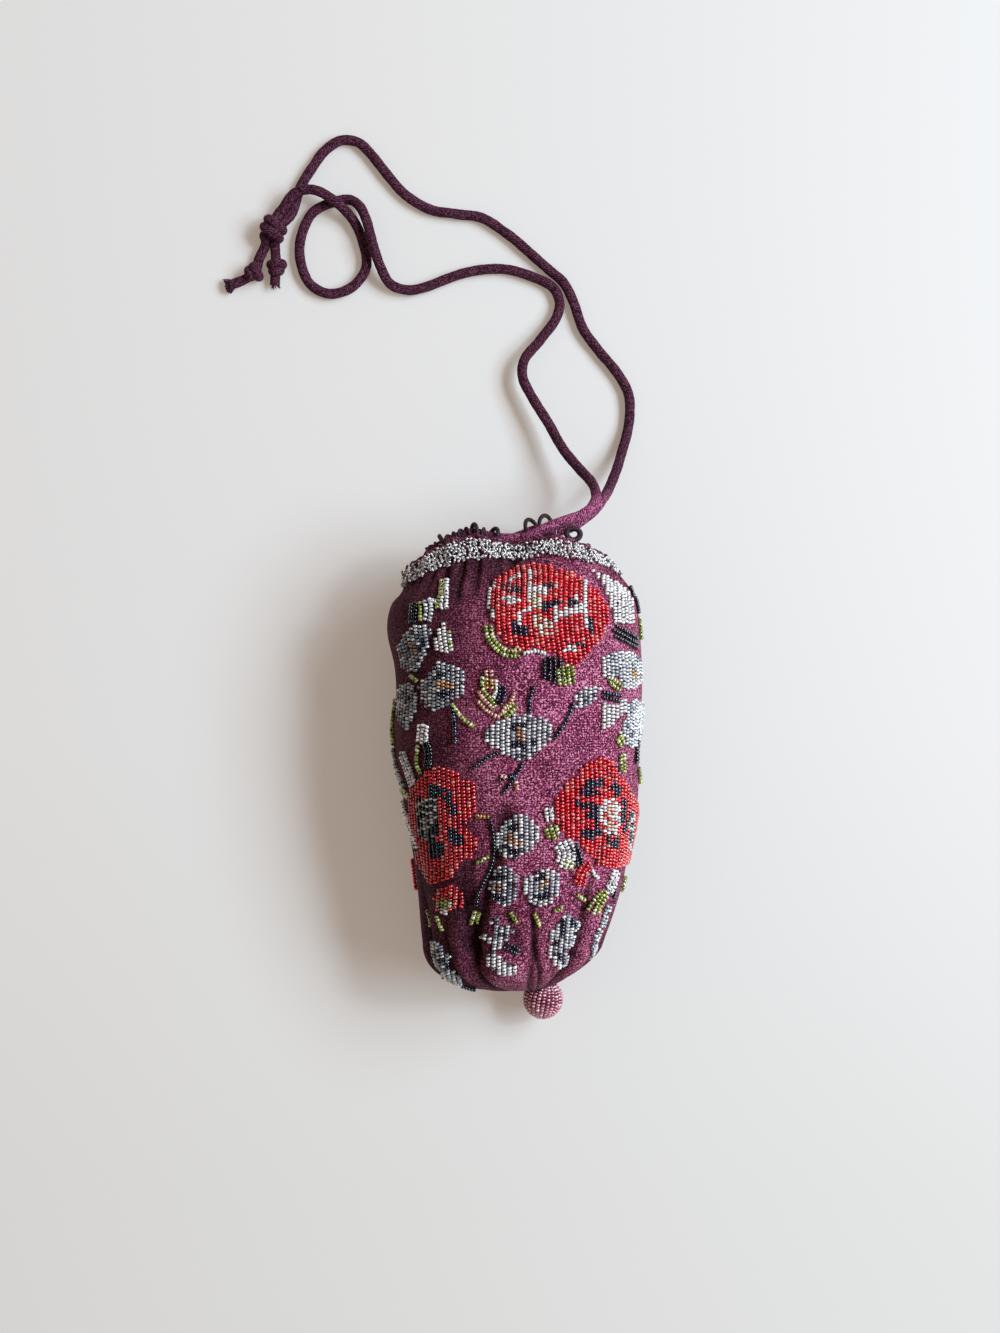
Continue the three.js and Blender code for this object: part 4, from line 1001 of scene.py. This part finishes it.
kept = np.flatnonzero(chosen != "")
turns, rows = turns[kept], rows[kept]
spots, out = seat(turns, rows, beadSize["seat"] + dice.normal(0, sewing["uneven"], len(kept)))
ahead = seat(turns, rows + sewing["ahead"], beadSize["seat"])[0]
nearest = np.array([np.min(((stringSpots[:, :3] - spot) ** 2).sum(1)) for spot in spots])
free = (nearest > sewing["clear"] ** 2) & (spots[:, 2] > sewing["lowest"])
petalGlass = {"red": (redGlass, "red_beads", 0.55), "grey": (flowerGlass, "flower_beads", 0.76)}
for name, (material, slot, bright) in petalGlass.items():
    use = free & (group[kept] == name)
    petalPaintedShade = bright + (1 - bright) * paintedShadeAt(turns, rows)[use]  # painted shade on the glass, from the cloth's painted shade: darker down the far side and in the folds
    strewBeads("beads_" + name + "_petals", spots[use], (ahead - spots)[use], out[use], chosen[kept][use],
        material, slot, paintedShade=petalPaintedShade)
use = stringSpots[:, 2] > sewing["lowest"]
strewBeads("beads_leaves_and_stems", stringSpots[use, :3], stringSpots[use, 3:6], stringSpots[use, 6:],
    stringNames[use], flowerGlass, "flower_beads")

bandForm = {"low": 80.6, "high": 88.4, "rows": 12, "apart": 1.2, "stray": 0.3, "narrow": 2.8,  # mm
    "dips": ((0.4, 0.45), (1.45, 0.34)), "underRim": 1.2, "lift": 0.15, "heap": (-0.1, 0.5), "size": 0.68}
bandTurns, bandRows = [], []
for y in np.linspace(bandForm["low"], bandForm["high"], bandForm["rows"]):  # a close scatter round the neck
    swing = np.linspace(0, fullTurn, 721)
    reach = lengths(clothPoint(swing, y))
    at = np.arange(dice.uniform(0, 1), reach[-1] - 0.8, bandForm["apart"])
    at = at + dice.normal(0, bandForm["stray"], len(at))
    turn = np.interp(at, reach, swing)
    dips = sum(np.exp(-(turnBetween(turn, middle) / spread) ** 2) for middle, spread in bandForm["dips"])
    inBand = y > bandForm["low"] + bandForm["narrow"] * dips - 0.1
    bandTurns.append(turn[inBand])
    bandRows.append(y + dice.normal(0, bandForm["stray"], inBand.sum()))
bandTurns = np.concatenate(bandTurns)
bandRows = np.minimum(np.concatenate(bandRows), clothForm["rim"] - bandForm["underRim"])
lift = beadSize["seat"] + bandForm["lift"] + dice.uniform(*bandForm["heap"], len(bandRows))
spots, out = seat(bandTurns, bandRows, lift)
ahead = unit(np.cross(out, dice.normal(0, 1, out.shape)))
strewBeads("beads_mouth_band", spots, ahead, out, ["clear"] * len(spots), clearGlass, "silver_beads",
    "mouth_band", size=bandForm["size"])

ballForm = {"columns": 24, "bead": 0.95, "stand": 0.2, "sunk": 0.4, "tilt": (0.15, 1.0, 0.1),  # mm
    "short": (0.15, 0.62, 0.32, 0.62)}  # radians short of a pole
low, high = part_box("base_ball")
ballMiddle, ballRadius = (np.array(low) + np.array(high)) / 2 / mm, (high[0] - low[0]) / 2 / mm
pole = unit(np.array(ballForm["tilt"]))
east = unit(np.cross(pole, [0.0, 0.0, 1.0]))
north = np.cross(east, pole)
strung = ballRadius + ballForm["stand"]
ballSpots, ballAhead = [], []
for column in range(ballForm["columns"]):
    swing = column / ballForm["columns"] * fullTurn
    end = math.pi / 2 - ballForm["short"][column % 4]  # strings drop out towards the poles
    for tip in np.arange(-end, end, beadSize["along"] * ballForm["bead"] / strung):
        flatOut = math.cos(swing) * east + math.sin(swing) * north
        ballSpots.append(math.cos(tip) * flatOut + math.sin(tip) * pole)
        ballAhead.append(-math.sin(tip) * flatOut + math.cos(tip) * pole)
ballSpots, ballAhead = np.array(ballSpots), np.array(ballAhead)
strewBeads("beads_base_ball", ballMiddle + ballSpots * strung, ballAhead, ballSpots,
    ["pink"] * len(ballSpots), pinkGlass, "pink_beads", "base_ball", size=ballForm["bead"])
bm = startMesh()
bmesh.ops.create_uvsphere(bm, u_segments=32, v_segments=20, radius=(strung - ballForm["sunk"]) * mm,
    calc_uvs=True)
bmesh.ops.translate(bm, verts=bm.verts, vec=ballMiddle * mm)
toneAndShadeCord(bm)
keepPiece("ball_core", bm, [crepeCord], "cord_cloth")
print("beads laid")

floorLook = {"pale": "#c1c5c6", "nearShade": "#bbc0c0", "glow": "#ffe9d8", "drift": 250.0,  # mm
    "near": -0.17, "far": 0.04, "size": 3.0, "patchy": 0.3, "paintedGlow": 0.21}  # metres, shares
paintedTop, tree, where = newMaterial("white_painted_top")  # a flat white painted board, faintly uneven, with painted shade towards its near edge and a faint glow of painted light
place = addNode(tree, "ShaderNodeSeparateXYZ", {"Vector": where["Object"]})
# painted shade: the board darkens towards its near edge
away = addNode(tree, "ShaderNodeMapRange", {"Value": place.outputs["Y"], "From Min": floorLook["near"],
    "From Max": floorLook["far"]})
uneven = blotches(tree, where["Object"], floorLook["drift"])
patchy = addShare(tree, away.outputs["Result"], floorLook["patchy"], uneven)
tone = toned(tree, patchy, (0.1, floorLook["nearShade"]), (1.0, floorLook["pale"]))
# a faint glow of painted light, lifting the bag's cast shadow
finishMaterial(tree, Base_Color=tone, Roughness=0.55, Emission_Color=paint(floorLook["glow"]),
    Emission_Strength=floorLook["paintedGlow"])
bm = bmesh.new()
bmesh.ops.create_grid(bm, x_segments=1, y_segments=1, size=floorLook["size"])
mesh = bpy.data.meshes.new("painted_top")
bm.to_mesh(mesh)
bm.free()
mesh.materials.append(paintedTop)
top = bpy.data.objects.new("painted_top", mesh)
scene.collection.objects.link(top)

lights = [  # name, place, where it looks, width and height in metres, watts, colour
    ("window", (1.8, 0.48, 1.70), (0.0, 0.03, 0.02), (2.6, 1.05), 82.0, "#e0f1ff"),
    ("pane", (1.20, 0.40, 1.40), (0.0, 0.0, 0.03), (0.3, 0.3), 6.0, "#ffffff"),
]
for name, place, look, size, watts, colour in lights:
    lamp = bpy.data.lights.new(name, "AREA")
    lamp.shape = "ELLIPSE"
    lamp.size, lamp.size_y = size
    lamp.energy = watts
    lamp.color = paint(colour)[:3]
    holder = bpy.data.objects.new(name, lamp)
    aim = np.array(look) - np.array(place)
    holder.location = place
    slope, heading = math.acos(-aim[2] / np.linalg.norm(aim)), math.atan2(aim[1], aim[0])
    holder.rotation_euler = (slope, 0, heading - math.pi / 2)
    scene.collection.objects.link(holder)
roomLight = {"colour": "#ffe6d4", "strength": 0.38}  # warm and even, thrown back by the walls
sky = bpy.data.worlds.new("room")
sky.use_nodes = True
glow = sky.node_tree.nodes["Background"].inputs
glow["Color"].default_value = paint(roomLight["colour"])
glow["Strength"].default_value = roomLight["strength"]
sky.cycles_visibility.glossy = False  # only the windows show in the glass
scene.world = sky
scene.view_settings.view_transform = "Standard"
print("floor and lights set")
